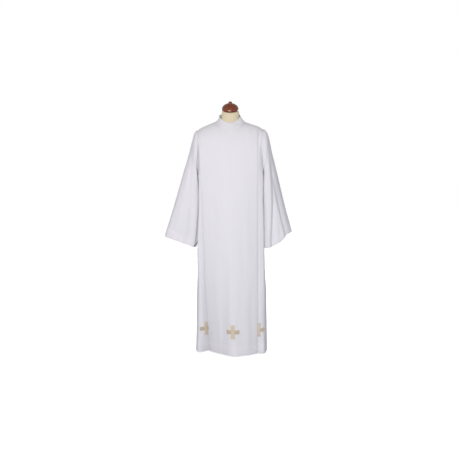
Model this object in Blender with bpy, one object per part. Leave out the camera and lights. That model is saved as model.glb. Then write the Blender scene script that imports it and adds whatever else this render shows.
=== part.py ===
"""Alb robe with a stand collar, worn on a limbless dress form that stands on a round foot.

Lengths are in millimetres in the tables and in metres in the finished meshes.
The front faces -Y, +Z is up, and the origin is under the middle of the foot.
"""

import math

import bpy
import numpy as np

MM = 0.001
WALL = 1.4  # cloth
COLLAR_WALL = 2.4  # collar band, two layers
HEM_EXTRA = 1.0  # turned-up cloth inside the hems
HEM_Z = 10.0  # lower edge of the robe above the floor
CUFF_HIGH = 0.075  # share of the sleeve taken by its hem
SEAM = 0.16  # half the gap where two pieces are sewn
FRONT_FOLD_TOPS, BACK_FOLD_TOPS = (188.0, 162.0), (131.0, 133.0)  # fold edges at the shoulder
CHEST_Z = 1200.0  # height where the cloth starts to round over the chest
TOP_SECTION_Z = 1400.0  # highest section

# Armhole: an oval in an upright plane on each side.
ARM_X, ARM_Z, ARM_HIGH, ARM_DEEP = 200.0, 1243.0, 135.0, 72.0
LEFT_TIP_RISE = 7.0  # the left shoulder point sits a little higher

# Neck seam: an oval that leans forward.
NECK_X, NECK_FRONT, NECK_BACK, NECK_Z = 83.0, 70.0, 60.0, 1435.0
NECK_RISE_FRONT, NECK_RISE_BACK = 0.60, 0.22

# Collar: slope in degrees, height at the front, and how much more at the back and on the left;
# degrees round the neck where the band starts, ends and begins to lap outside itself.
COLLAR_STEEP, COLLAR_HIGH, COLLAR_BACK_RISE, COLLAR_LEFT_RISE = 62.0, 35.0, 8.0, 2.5
COLLAR_SHARES = (0.0, 0.3, 0.65, 1.0)
LAP_START, LAP_END, LAP_RAMP = 66.0, 452.0, 396.0

# Fold sections, a row for each height. Distances from the middle, both ways from the seam.
FOLD_COLUMNS = ("z", "side", "lobe_x", "lobe_y", "behind_x", "behind_y",
                "tuck_x", "tuck_y", "edge_x", "edge_y", "gap")
FRONT_RIGHT = (
    (10, 215, 200, 130, 134, 18, 100, 26, 134, 58, 13),
    (180, 214, 199, 108, 142, 36, 104, 36, 135, 68, 13),
    (430, 210, 199, 98, 158, 58, 126, 58, 153, 86, 11),
    (640, 194, 216, 92, 167, 80, 139, 70, 162, 92, 10),
    (800, 177, 214, 90, 170, 84, 149, 74, 167, 95, 9),
    (950, 170, 209, 82, 174, 86, 156, 80, 172, 98, 8),
    (1090, 181, 206, 66, 184, 80, 170, 80, 180, 95, 6),
    (1200, 198, 200, 54, 192, 72, 183, 79, 187, 90, 4),
    (1400, 199, 198, 56, 194, 74, 188, 80, 189, 88, 3),
)
FRONT_LEFT = (
    (10, 232, 208, 156, 172, 100, 128, 92, 164, 122, 14),
    (180, 231, 212, 108, 176, 92, 132, 84, 166, 112, 13),
    (430, 227, 210, 112, 173, 86, 136, 80, 165, 108, 12),
    (640, 200, 223, 94, 170, 90, 140, 80, 163, 106, 11),
    (800, 182, 224, 88, 169, 88, 143, 80, 162, 105, 10),
    (950, 180, 216, 82, 168, 86, 146, 81, 162, 104, 9),
    (1090, 186, 212, 70, 170, 86, 151, 83, 161, 101, 7),
    (1200, 198, 199, 60, 176, 86, 157, 85, 161, 98, 5),
    (1400, 199, 197, 58, 178, 78, 160, 84, 160, 94, 3),
)
BACK_RIGHT = (
    (10, 215, 203, 94, 152, 112, 104, 118, 132, 142, 12),
    (180, 214, 202, 88, 152, 108, 106, 114, 132, 137, 12),
    (430, 210, 199, 82, 152, 100, 110, 108, 132, 128, 11),
    (640, 194, 196, 80, 152, 94, 114, 102, 132, 120, 10),
    (800, 177, 192, 78, 151, 90, 116, 99, 132, 116, 9),
    (950, 170, 188, 74, 150, 86, 118, 96, 132, 112, 8),
    (1090, 181, 190, 66, 155, 83, 123, 94, 132, 107, 6),
    (1200, 198, 192, 56, 160, 80, 128, 92, 132, 102, 5),
    (1400, 199, 194, 56, 162, 80, 131, 90, 131, 98, 3),
)
BACK_LEFT = (
    (10, 232, 214, 96, 158, 114, 108, 120, 138, 144, 12),
    (180, 231, 213, 90, 158, 110, 110, 116, 138, 139, 12),
    (430, 227, 211, 84, 158, 102, 114, 110, 138, 130, 11),
    (640, 200, 202, 82, 157, 96, 118, 104, 137, 122, 10),
    (800, 182, 198, 80, 155, 91, 120, 101, 136, 117, 9),
    (950, 180, 196, 76, 154, 87, 122, 98, 136, 113, 8),
    (1090, 186, 195, 66, 158, 84, 127, 95, 136, 108, 6),
    (1200, 198, 192, 57, 162, 81, 132, 93, 136, 103, 5),
    (1400, 199, 194, 57, 164, 81, 134, 91, 134, 99, 3),
)

# Middle of each panel, a row for each height: z, x of the ridge and how far it stands out.
FRONT_MIDDLE = ((10, 24, 197), (180, 22, 187), (430, 16, 173), (680, 9, 163),
                (950, 3, 149), (1200, 0, 124), (1400, 0, 120))
BACK_MIDDLE = ((10, -6, 176), (180, -5, 170), (430, -4, 160), (680, -2, 149),
               (950, 0, 136), (1200, 0, 118), (1400, 0, 112))

# Soft troughs down the middle of a panel: x at the hem, x at the top, top z, depth, half-width.
FRONT_TROUGHS = ((-34, -30, 740, 7.0, 16), (78, 52, 560, 4.0, 20), (-86, -80, 420, 3.0, 16))
BACK_TROUGHS = ((-46, -36, 900, 8.0, 22), (52, 44, 760, 7.0, 20))

# Sleeves, a row for each ring: outer x, z, inner x, z, half-depth, middle y.
SLEEVE_RIGHT = (
    (0.00, 200, 1378, 200, 1108, 72, 0),
    (0.03, 211, 1374, 204, 1103, 74, 0),
    (0.08, 222, 1354, 202, 1087, 76, 0),
    (0.16, 234, 1314, 194, 1052, 76, 0),
    (0.30, 255, 1242, 186, 986, 74, 2),
    (0.50, 293, 1118, 183, 906, 68, -4),
    (0.70, 336, 968, 186, 823, 62, -10),
    (0.86, 375, 842, 192, 746, 56, -14),
    (0.95, 396, 768, 199, 708, 53, -16),
    (1.00, 407, 729, 204, 690, 51, -17),
)
SLEEVE_LEFT = (
    (0.00, 200, 1385, 200, 1108, 72, 0),
    (0.03, 213, 1381, 205, 1103, 74, 0),
    (0.08, 230, 1358, 203, 1087, 76, 0),
    (0.16, 243, 1318, 199, 1052, 76, 0),
    (0.30, 260, 1242, 199, 986, 75, -6),
    (0.50, 292, 1118, 200, 906, 70, -14),
    (0.70, 327, 974, 200, 820, 64, -20),
    (0.86, 359, 856, 198, 738, 59, -26),
    (0.95, 378, 788, 204, 696, 56, -28),
    (1.00, 387, 750, 208, 676, 54, -28),
)
# How much flatter than a round tube the sleeve hangs below the shoulder.
SLEEVE_FLAT = 0.3
# How far the cuff's edge drops below its line, by degrees round from the outer edge.
RIGHT_CUFF_DROP = ((0, 0), (60, 9), (85, 16), (107, 23), (132, 31), (143, 34), (155, 17), (166, 2),
                   (180, -6), (192, 12), (204, 34), (216, 42), (240, 30), (280, 10), (330, 0), (360, 0))
LEFT_CUFF_DROP = ((0, 0), (48, -3), (60, 3), (72, 17), (85, 25), (111, 30), (135, 29), (160, 20),
                  (180, 12), (200, 24), (218, 32), (245, 24), (290, 9), (330, 0), (360, 0))

# Sleeve folds: degrees round from the outer edge at the shoulder and at the cuff,
# where it starts and ends along the sleeve, depth, half-width in degrees.
RIGHT_SLEEVE_FOLDS = ((60, 74, 0.25, 1.2, 4.0, 13), (118, 108, 0.20, 1.2, 5.0, 12),
                     (236, 250, 0.25, 1.2, 7.0, 15), (296, 290, 0.35, 1.2, 5.0, 14))
LEFT_SLEEVE_FOLDS = ((58, 64, 0.40, 1.2, 11.0, 15), (32, 120, 0.03, 0.9, 13.0, 15),
                      (232, 246, 0.25, 1.2, 8.0, 15), (292, 286, 0.35, 1.2, 5.0, 14))

# Embroidered crosses above the hem: name, panel, part of the section, middle x, z, and the gap
# under it, which is wider where the cloth turns sharply.
CROSS_SIZE, CROSS_ARM, CROSS_THICK = 86.0, 23.0, 1.2
CROSS_ARM_STEPS = ((23.0, 11.0), (32.0, 13.2), (38.0, 12.8), (41.2, 8.0))
CROSSES = (
    ("cross_front_middle", "front", "middle", 15.0, 155.0, 0.9),
    ("cross_front_right", "front", "right", -151.0, 155.0, 0.9),
    ("cross_front_left", "front", "left", 175.0, 155.0, 1.5),
    ("cross_back_middle", "back", "middle", 4.0, 152.0, 0.9),
    ("cross_back_right", "back", "right", -172.0, 152.0, 0.9),
    ("cross_back_left", "back", "left", 180.0, 152.0, 0.9),
)

# Form under the robe: lowest point, half-width at the shoulders, room under the cloth.
FORM_LOW, FORM_ARM_X, FORM_GAP = 820.0, 187.0, 2.2
FORM_CHEST_FRONT, FORM_CHEST_BACK, FORM_CHEST_X = 106.0, 99.0, 205.0
NECK_FORM, NECK_SEAT = (64.0, 44.0, 40.0), 1419.0  # neck's root: half-width, depths, top
# Sections of the trunk: z, half-width, half-depth.
FORM_SECTIONS = ((820, 128, 88), (824, 134, 93), (880, 142, 98), (960, 146, 100),
                 (1040, 152, 100), (1120, 163, 100), (1180, 176, 100))
FORM_SHOULDER_HEIGHTS = (1230, 1280, 1320, 1350, 1370, 1385, 1398, 1408, 1415)
# Sections of the neck: z, middle x, half-width, half-depth, middle y, lean in degrees.
NECK_RINGS = ((1424, 1, 64, 42.5, -4, 2), (1440, 2, 58, 41.5, -4.5, 4),
              (1455, 2, 56, 43, -6, 12), (1470, 2, 55, 45, -8, 18),
              (1483, 1.5, 53.5, 46, -9, 23), (1492, 0.5, 51, 46.5, -8.5, 26),
              (1502.4, 0, 47, 46, -8, 26))

# Cap and stand: turned pieces, height and radius.
CAP_TILT, CAP_Y, CAP_Z = 26.0, -8.0, 1503.0
CAP_PROFILE = ((0.0, 45.5), (2.0, 49.5), (6.0, 51.0), (11.0, 50.6), (17.0, 48.0), (24.0, 43.0),
               (30.0, 36.0), (34.5, 27.5), (38.0, 17.5), (41.0, 12.8), (44.0, 11.4), (47.5, 11.4),
               (50.5, 9.8), (53.0, 6.8), (54.6, 2.5))
POLE_R, FOOT_R, FOOT_HIGH, COLLET_R, COLLET_HIGH = 12.5, 98.0, 14.0, 22.0, 34.0

MATERIALS = {
    "alb_cloth": ((0.83, 0.82, 0.86), 0.72, 0.0),
    "cross_thread": ((0.55, 0.46, 0.33), 0.55, 0.0),
    "form_jersey": ((0.78, 0.70, 0.50), 0.8, 0.0),
    "cap_wood": ((0.17, 0.04, 0.018), 0.22, 0.0),
    "stand_steel": ((0.45, 0.45, 0.46), 0.35, 1.0),
}


def smooth(value):
    t = np.clip(value, 0.0, 1.0)
    return t * t * (3.0 - 2.0 * t)


def from_table(rows, key):
    """The row of a table at this key, each column run smoothly between the rows."""
    table = np.array(rows, float)
    keys = table[:, 0]
    i = int(np.clip(np.searchsorted(keys, key) - 1, 0, len(keys) - 2))
    t = float(np.clip((key - keys[i]) / (keys[i + 1] - keys[i]), 0.0, 1.0))
    low = table[max(i - 1, 0)]
    high = table[min(i + 2, len(keys) - 1)]
    a, b = table[i], table[i + 1]
    span = b[0] - a[0]
    slope_a = (b - low) / (b[0] - low[0])
    slope_b = (high - a) / (high[0] - a[0])
    h = np.array([2 * t**3 - 3 * t**2 + 1, t**3 - 2 * t**2 + t,
                  -2 * t**3 + 3 * t**2, t**3 - t**2])
    return h[0] * a + h[1] * span * slope_a + h[2] * b + h[3] * span * slope_b


def spline(points, places):
    """A smooth run past the control points, at these places counted in control points."""
    points = np.array(points, float)
    first = points[1] * (1, -1)
    last = points[-2] * (1, -1)
    run = np.vstack([first, points, last])
    i = np.clip(np.floor(places).astype(int), 0, len(points) - 2)
    t = (places - i)[:, None]
    a, b, c, d = run[i], run[i + 1], run[i + 2], run[i + 3]
    return ((1 - t)**3 * a + (3 * t**3 - 6 * t**2 + 4) * b
            + (-3 * t**3 + 3 * t**2 + 3 * t + 1) * c + t**3 * d) / 6.0


def fold_points(row, sign):
    """Control points from the side seam to the edge of the front fold."""
    _, side, lobe_x, lobe_y, behind_x, behind_y, tuck_x, tuck_y, edge_x, edge_y, gap = row
    points = ((side, 0.0), (side, 0.42 * lobe_y), (lobe_x, lobe_y), (behind_x, behind_y),
              (tuck_x, tuck_y), (tuck_x, tuck_y + 0.5 * gap),
              (edge_x, edge_y - 0.6 * gap), (edge_x, edge_y))
    return [(sign * x, y) for x, y in points]


# Places along a section: the side seam at 0, the fold's edge at FOLD_END, the other side at SPANS.
MIDDLE_POINTS = 9
SPANS = 2 * 7 + MIDDLE_POINTS + 1
FOLD_END = 7.0
ARM_END = 3.5
FOLD_PLACES = (0.0, 0.6, 1.1, 1.5, 1.8, 2.1, 2.5, 3.0, 3.5)
REGIONS = {"right": (2.0, 4.0), "middle": (7.0, SPANS - 7.0), "left": (SPANS - 4.0, SPANS - 2.0)}


class Panel:
    """One half of the robe's body: every section, and where its top edge runs."""

    def __init__(self, right, left, middle, troughs, fold_tops, facing, counts):
        self.right, self.left, self.middle, self.troughs = right, left, middle, troughs
        self.fold_tops, self.facing = fold_tops, facing
        turn, front = counts
        half = np.concatenate([FOLD_PLACES, np.linspace(4, FOLD_END, turn, endpoint=False)])
        self.places = np.concatenate([half, np.linspace(FOLD_END, SPANS - FOLD_END, front),
                                      (SPANS - half)[::-1]])

    def section(self, z):
        """Points of the cloth's middle at this height, x and distance from the side seams."""
        right = fold_points(from_table(self.right, z), -1)
        left = fold_points(from_table(self.left, z), 1)
        _, middle_x, middle_y = from_table(self.middle, z)
        between = []
        for k in range(1, MIDDLE_POINTS + 1):
            v = 2.0 * k / (MIDDLE_POINTS + 1)
            edge, v = (right[-1], v) if v <= 1.0 else (left[-1], 2.0 - v)
            rise = 0.8 * math.sin(math.pi * v / 2) + 0.2 * v
            between.append((edge[0] + (middle_x - edge[0]) * v,
                            edge[1] + (middle_y - edge[1]) * rise))
        run = spline(right + between + left[::-1], self.places)
        for hem_x, top_x, top_z, depth, half in self.troughs:
            share = np.clip((z - HEM_Z) / (top_z - HEM_Z), 0.0, 1.0)
            x = hem_x + (top_x - hem_x) * share
            run[:, 1] -= depth * (1 - smooth(share)) * np.exp(-((run[:, 0] - x) / half)**2)
        return run

    def neck_range(self):
        """First and last column that ends at the neck seam."""
        chest = self.section(CHEST_Z)
        front = (self.places >= FOLD_END) & (self.places <= SPANS - FOLD_END)
        inside = np.flatnonzero(front & (np.abs(chest[:, 0]) < NECK_X + 4))
        return inside[0], inside[-1]

    def top(self):
        """Where each column ends, how far it rounds over, and which way its wall faces there."""
        chest = np.abs(self.section(CHEST_Z)[:, 0])
        first, last = self.neck_range()
        count = len(self.places)
        points, normals = np.zeros((count, 3)), np.zeros((count, 3))
        round_over = np.full(count, 90.0)
        for i, place in enumerate(self.places):
            from_side = min(place, SPANS - place)
            sign = -1.0 if place < SPANS / 2 else 1.0
            if from_side <= ARM_END:
                angle = math.radians(-90 + 180 * from_side / ARM_END)
                high = ARM_Z + ARM_HIGH * math.sin(angle)
                high += LEFT_TIP_RISE / 2 * (1 + math.sin(angle)) if sign > 0 else 0.0
                points[i] = (sign * (ARM_X - SEAM), ARM_DEEP * math.cos(angle), high)
                normals[i] = (0, ARM_HIGH * math.cos(angle), ARM_DEEP * math.sin(angle))
                continue
            if first <= i <= last:
                angle = math.radians(-90 + 180 * (i - first) / (last - first))
                point, normal, up = neck_frame(angle, self.facing)
                points[i] = (point - up * SEAM) * (1, self.facing, 1)
                normals[i] = normal * (1, self.facing, 1)
                round_over[i] = 90 - 34 * smooth(math.cos(angle) * 1.3)
                continue
            fold_x = self.fold_tops[0] if sign < 0 else self.fold_tops[1]
            if from_side < FOLD_END:
                share = (from_side - ARM_END) / (FOLD_END - ARM_END)
                x = ARM_X + (fold_x - ARM_X) * share
            else:
                neck_x = chest[first] if sign < 0 else chest[last]
                share = (fold_x - chest[i]) / (fold_x - neck_x)
                x = fold_x + (NECK_X - fold_x) * share
            points[i] = (sign * x, 0, shoulder_z(sign * x))
            normals[i] = (-shoulder_slope(sign * x), 0, 1)
        normals /= np.linalg.norm(normals, axis=1)[:, None]
        return points, normals, round_over

    def grid(self, low_rows, round_rows):
        """Middle of the cloth as rows of points from the hem to the top edge, and its normals."""
        ends, end_normals, round_over = self.top()
        from_side = np.minimum(self.places, SPANS - self.places)
        drop = np.where(from_side <= ARM_END, 0.95 * (ARM_Z + ARM_HIGH - ends[:, 2]), 0.0)
        lower = CHEST_Z - drop
        rows = []
        for share in low_rows:
            z = HEM_Z + share * (lower - HEM_Z)
            rows.append(np.column_stack([self.at(z), z]))
        last = self.at(np.minimum(ends[:, 2], TOP_SECTION_Z))
        full = np.radians(round_over)
        for share in round_rows:
            rise = np.sin(full * share) / np.sin(full)
            pull = (1 - np.cos(full * share)) / (1 - np.cos(full))
            z = lower + (ends[:, 2] - lower) * rise
            flat = self.at(np.minimum(z, TOP_SECTION_Z)) + (ends[:, :2] - last) * pull[:, None]
            rows.append(np.column_stack([flat, z]))
        grid = np.array(rows)
        grid[:, :, 1] = self.facing * (grid[:, :, 1] + SEAM)
        normals = grid_normals(grid, -self.facing)
        normals[-1] = end_normals * (1, self.facing, 1)
        normals[:, (0, -1), 1] = 0.0
        normals[-1, (0, -1)] = (0, 0, -1)
        normals /= np.linalg.norm(normals, axis=2)[:, :, None]
        return grid, normals

    def at(self, heights):
        """Each column's own point at its own height."""
        levels = np.unique(np.round(heights, 3))
        sections = {level: self.section(level) for level in levels}
        return np.array([sections[round(float(z), 3)][i] for i, z in enumerate(heights)])


def shoulder_z(x):
    """Height of the shoulder seam, which drops a little faster near the tip."""
    out = abs(x)
    rise = LEFT_TIP_RISE * smooth((x - NECK_X) / (ARM_X - NECK_X))
    return NECK_Z - 0.43 * (out - NECK_X) - 7.0 * smooth((out - 170.0) / 40.0) + rise


def shoulder_slope(x):
    return (shoulder_z(x + 1.0) - shoulder_z(x - 1.0)) / 2.0


def neck_frame(angle, facing):
    """A point of the neck seam, the wall's direction there and the way the collar rises."""
    deep, rise = (NECK_FRONT, NECK_RISE_FRONT) if facing < 0 else (NECK_BACK, NECK_RISE_BACK)
    s, c = math.sin(angle), math.cos(angle)
    point = np.array((NECK_X * s, facing * deep * c, NECK_Z + rise * facing * deep * c))
    outward = unit((s / NECK_X, facing * c / deep, 0.0))
    along = unit((NECK_X * c, -facing * deep * s, -rise * facing * deep * s))
    steep = math.radians(COLLAR_STEEP)
    up = np.array((0.0, 0.0, math.sin(steep))) - outward * math.cos(steep)
    up = unit(up - along * np.dot(up, along))
    normal = unit(np.cross(along, up))
    return point, normal if np.dot(normal, outward) > 0 else -normal, up


def unit(vector):
    vector = np.array(vector, float)
    return vector / np.linalg.norm(vector)


def grid_normals(grid, turn, ring=False):
    """Directions square to a grid of points; the columns of a ring close on themselves."""
    if ring:
        across = np.roll(grid, -1, axis=1) - np.roll(grid, 1, axis=1)
    else:
        across = np.gradient(grid, axis=1)
    normals = turn * np.cross(across, np.gradient(grid, axis=0))
    return normals / np.linalg.norm(normals, axis=2)[:, :, None]


def add_mesh(name, points, faces, material):
    """One named closed solid with its own material, faces outward, from millimetre points."""
    points = np.array(points, float) * MM
    mesh = bpy.data.meshes.new(name)
    mesh.from_pydata([tuple(p) for p in points], [], faces)
    volume = 0.0
    for face in mesh.polygons:
        corners = [points[i] for i in face.vertices]
        for b, c in zip(corners[1:-1], corners[2:]):
            volume += np.dot(corners[0], np.cross(b, c))
    if volume < 0:
        mesh.flip_normals()
    mesh.shade_smooth()
    mesh.materials.append(MADE[material])
    obj = bpy.data.objects.new(name, mesh)
    bpy.context.scene.collection.objects.link(obj)
    return obj


def add_wall(name, grid, normals, outer, inner, material, ring=False):
    """A cloth wall: the grid moved out by outer and in by inner, closed round its rims."""
    rows, columns = grid.shape[:2]
    outside = grid + normals * np.asarray(outer)[:, None, None]
    inside = grid - normals * np.asarray(inner)[:, None, None]
    points = np.concatenate([outside.reshape(-1, 3), inside.reshape(-1, 3)])
    size = rows * columns
    faces = []
    for j in range(rows - 1):
        for i in range(columns if ring else columns - 1):
            a, b = j * columns + i, j * columns + (i + 1) % columns
            faces.append((a, b, b + columns, a + columns))
            faces.append((a + size, a + columns + size, b + columns + size, b + size))
    for i in range(columns if ring else columns - 1):
        for j, turned in ((0, False), (rows - 1, True)):
            a, b = j * columns + i, j * columns + (i + 1) % columns
            rim = (b, a, a + size, b + size)
            faces.append(rim[::-1] if turned else rim)
    if not ring:
        for j in range(rows - 1):
            for i, turned in ((0, False), (columns - 1, True)):
                a, b = j * columns + i, (j + 1) * columns + i
                rim = (a, b, b + size, a + size)
                faces.append(rim[::-1] if turned else rim)
    return add_mesh(name, points, faces, material)


LOW_HEIGHTS = (0, 52, 56, 110, 190, 290, 400, 520, 640, 760, 880, 990, 1095, 1190)
ROUND_SHARES = (0.2, 0.4, 0.58, 0.74, 0.88, 1.0)


def make_panel(name, panel):
    low = np.array(LOW_HEIGHTS) / (CHEST_Z - HEM_Z)
    grid, normals = panel.grid(low, ROUND_SHARES)
    outer = np.full(len(grid), WALL / 2)
    inner = np.where(np.arange(len(grid)) < 2, WALL / 2 + HEM_EXTRA, WALL / 2)
    add_wall(name, grid, normals, outer, inner, "alb_cloth")
    return grid, normals


SLEEVE_SHARES = (0.0, 0.02, 0.05, 0.09, 0.14, 0.20, 0.28, 0.38, 0.48, 0.58, 0.68, 0.78, 0.86,
                 0.921, 0.928, 1.0)


def sleeve_grid(rows, folds, drop, sign, shares, count):
    """Rings of the sleeve from the armhole to the cuff, and their normals."""
    turns = np.linspace(0, 2 * math.pi, count, endpoint=False)
    degrees = np.degrees(turns)
    grid = []
    for share in shares:
        _, outer_x, outer_z, inner_x, inner_z, deep, middle_y = from_table(rows, share)
        c, s = np.cos(turns), np.sin(turns)
        x = (outer_x + inner_x) / 2 + (outer_x - inner_x) / 2 * c + SEAM
        z = (outer_z + inner_z) / 2 + (outer_z - inner_z) / 2 * c
        flat = 1 - SLEEVE_FLAT * smooth(share / 0.3)
        y = middle_y - deep * np.sign(s) * np.abs(s)**flat
        low = smooth((share - 0.72) / 0.28)
        z = z - low * np.interp(degrees, *np.array(drop).T)
        grid.append(np.column_stack([sign * x, y, z]))
    grid = np.array(grid)
    normals = grid_normals(grid, sign, ring=True)
    for j, share in enumerate(shares):
        for start, end, begin, finish, depth, half in folds:
            place = start + (end - start) * share
            strength = depth * smooth((share - begin) / (0.85 * (finish - begin)))
            dip = strength * np.exp(-((degrees - place) / half)**2)
            grid[j] -= normals[j] * dip[:, None]
    normals = grid_normals(grid, sign, ring=True)
    normals[0] = np.column_stack([np.zeros(count), -np.sin(turns) * ARM_HIGH,
                                  np.cos(turns) * ARM_DEEP])
    normals /= np.linalg.norm(normals, axis=2)[:, :, None]
    return grid, normals


def make_sleeve(name, rows, folds, drop, sign):
    grid, normals = sleeve_grid(rows, folds, drop, sign, SLEEVE_SHARES, 30)
    hem = np.array(SLEEVE_SHARES) > 1 - CUFF_HIGH
    add_wall(name, grid, normals, np.full(len(grid), WALL / 2),
             np.where(hem, WALL / 2 + HEM_EXTRA, WALL / 2), "alb_cloth", ring=True)


def neck_loop(front, back):
    """The neck seam's corners all round, from the middle front towards +X, with their frames."""
    corners = []
    for panel, start in ((front, 0.0), (back, 180.0)):
        first, last = panel.neck_range()
        for i in range(last - first + 1):
            angle = -90 + 180 * i / (last - first)
            around = angle if panel.facing < 0 else start - angle
            corners.append((around % 360, *neck_frame(math.radians(angle), panel.facing)))
    corners.sort(key=lambda corner: corner[0])
    kept = [c for k, c in enumerate(corners) if k == 0 or c[0] - corners[k - 1][0] > 0.01]
    return kept


def make_collar(front, back):
    """A standing band that goes round the neck and laps over itself on the left side."""
    loop = neck_loop(front, back)
    angles = np.array([c[0] for c in loop])
    angles = np.concatenate([angles - 360, angles, angles + 360])
    places = [a for a in angles if LAP_START <= a <= LAP_END]
    halves = [(a + b) / 2 for a, b in zip(places, places[1:])]
    places = np.array(sorted({LAP_START, LAP_END, *places, *halves}))
    track = []
    for k in range(1, 4):
        values = np.array([c[k] for c in loop] * 3)
        track.append(np.column_stack([np.interp(places, angles, v) for v in values.T]))
    base, normals, ups = track
    lap = smooth((places - LAP_RAMP) / (LAP_START + 360 - LAP_RAMP)) * (COLLAR_WALL + 0.5)
    around = np.radians(places)
    high = (COLLAR_HIGH + COLLAR_BACK_RISE * (1 - np.cos(around)) / 2
            + COLLAR_LEFT_RISE * np.sin(around))
    start = SEAM + 0.9 * lap
    grid, tilts = [], []
    for share in COLLAR_SHARES:
        reach = start + (high - start) * share
        bow = 1.5 * math.sin(math.pi * share)
        grid.append(base + ups * reach[:, None] + normals * (lap + bow)[:, None])
        tilts.append(normals)
    half = np.full(len(COLLAR_SHARES), COLLAR_WALL / 2)
    add_wall("collar", np.array(grid), np.array(tilts), half, half, "alb_cloth")


def surface_row(grid, normals, z):
    """The cloth at one height: its points, normals and distances along it."""
    points, tilts = [], []
    for i in range(grid.shape[1]):
        heights = grid[:, i, 2]
        j = int(np.clip(np.searchsorted(heights, z) - 1, 0, len(heights) - 2))
        t = (z - heights[j]) / (heights[j + 1] - heights[j])
        points.append(grid[j, i] + (grid[j + 1, i] - grid[j, i]) * t)
        tilts.append(normals[j, i] + (normals[j + 1, i] - normals[j, i]) * t)
    points, tilts = np.array(points), np.array(tilts)
    steps = np.linalg.norm(np.diff(points, axis=0), axis=1)
    return points, tilts, np.concatenate([[0], np.cumsum(steps)])


def cross_outline():
    """A cross with arms that widen a little and end rounded: points and faces, flat."""
    wide = CROSS_ARM / 2
    points = [(x * wide, y * wide) for y in (-1, 0, 1) for x in (-1, 0, 1)]
    faces = [(0, 1, 4, 3), (1, 2, 5, 4), (3, 4, 7, 6), (4, 5, 8, 7)]
    arms = (((2, 5, 8), (1, 0)), ((8, 7, 6), (0, 1)), ((6, 3, 0), (-1, 0)), ((0, 1, 2), (0, -1)))
    for edge, (dx, dy) in arms:
        last = list(edge)
        for reach, half in CROSS_ARM_STEPS:
            new = []
            for side in (-1, 0, 1):
                bulge = reach + (1 - abs(side)) * (0.02 * CROSS_SIZE if half < wide else 0)
                points.append((dx * bulge - dy * side * half, dy * bulge + dx * side * half))
                new.append(len(points) - 1)
            faces += [(last[0], new[0], new[1], last[1]), (last[1], new[1], new[2], last[2])]
            last = new
    return points, faces


def make_cross(name, panel, cloth, region, x, z, gap):
    """A thin raised patch that follows the cloth it lies on."""
    grid, normals = cloth
    points, _, lengths = surface_row(grid, normals, z)
    low, high = REGIONS[region]
    inside = (panel.places >= low) & (panel.places <= high)
    order = np.argsort(points[inside, 0])
    start = np.interp(x, points[inside, 0][order], lengths[inside][order])
    flat, faces = cross_outline()
    outside, under = [], []
    for across, upward in flat:
        row, tilts, spread = surface_row(grid, normals, z + upward)
        middle = np.interp(start, lengths, np.arange(len(lengths)))
        centre = np.interp(middle, np.arange(len(spread)), spread)
        place = centre + across
        point = np.array([np.interp(place, spread, v) for v in row.T])
        tilt = unit([np.interp(place, spread, v) for v in tilts.T])
        under.append(point + tilt * (WALL / 2 + gap))
        outside.append(point + tilt * (WALL / 2 + gap + CROSS_THICK))
    size = len(flat)
    sides = {}
    for face in faces:
        for a, b in zip(face, face[1:] + face[:1]):
            sides[(a, b)] = True
    rims = [(b, a, a + size, b + size) for a, b in sides if (b, a) not in sides]
    lower = [tuple(i + size for i in face[::-1]) for face in faces]
    add_mesh(name, outside + under, faces + lower + rims, "cross_thread")


def rings_solid(name, rings, material):
    """A closed solid through rings of points, its first and last rings filled flat."""
    count = len(rings[0])
    points = [p for ring in rings for p in ring]
    faces = []
    for j in range(len(rings) - 1):
        for i in range(count):
            a, b = j * count + i, j * count + (i + 1) % count
            faces.append((a, b, b + count, a + count))
    faces.append(tuple(range(count))[::-1])
    faces.append(tuple((len(rings) - 1) * count + i for i in range(count)))
    return add_mesh(name, points, faces, material)


def form_depth(x, z, front):
    """How far the form stands out from its middle plane, under the cloth."""
    chest = 0.0
    top = min(shoulder_z(x) - FORM_GAP, NECK_SEAT)
    if z < top:
        up = max(0.0, (z - CHEST_Z) / (top - CHEST_Z))
        wide = 1 - abs(x / FORM_CHEST_X)**2.4
        deep = FORM_CHEST_FRONT if front else FORM_CHEST_BACK
        chest = deep * wide**0.5 * math.sqrt(1 - up * up) - FORM_GAP
    reach, forward, backward = NECK_FORM
    neck = 0.0
    if abs(x) < reach:
        neck = (forward if front else backward) * math.sqrt(1 - (x / reach)**2)
    return max(chest, neck, 0.0)


def form_reach(z, side):
    """Half-width of the form at this height, on one side."""
    reach = FORM_ARM_X
    while reach > NECK_FORM[0] + 1 and shoulder_z(side * reach) - FORM_GAP < z + 0.5:
        reach -= 0.5
    return reach


def make_form():
    """The form: hips to chest, shoulders, and the neck that leans forward to the cap."""
    count = 40
    turns = np.linspace(0, 2 * math.pi, count, endpoint=False)
    rings = []
    for z, wide, deep in FORM_SECTIONS:
        rings.append([(wide * math.cos(t), -deep * math.sin(t), z) for t in turns])
    for z in FORM_SHOULDER_HEIGHTS:
        reach = {side: form_reach(z, side) for side in (-1, 1)}
        ring = []
        for t in turns:
            c, s = math.cos(t), math.sin(t)
            x = reach[1 if c > 0 else -1] * math.copysign(abs(c)**0.8, c)
            depth = form_depth(x, z, s > 0) if abs(s) > 1e-6 else 0.0
            ring.append((x, -math.copysign(max(depth, 4.0 * abs(s)), s), z))
        rings.append(ring)
    for z, across, wide, deep, middle, lean in NECK_RINGS:
        angle = math.radians(lean)
        rings.append([(across + wide * math.cos(t), middle - deep * math.sin(t) * math.cos(angle),
                       z - deep * math.sin(t) * math.sin(angle)) for t in turns])
    rings_solid("form_torso", rings, "form_jersey")


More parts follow.
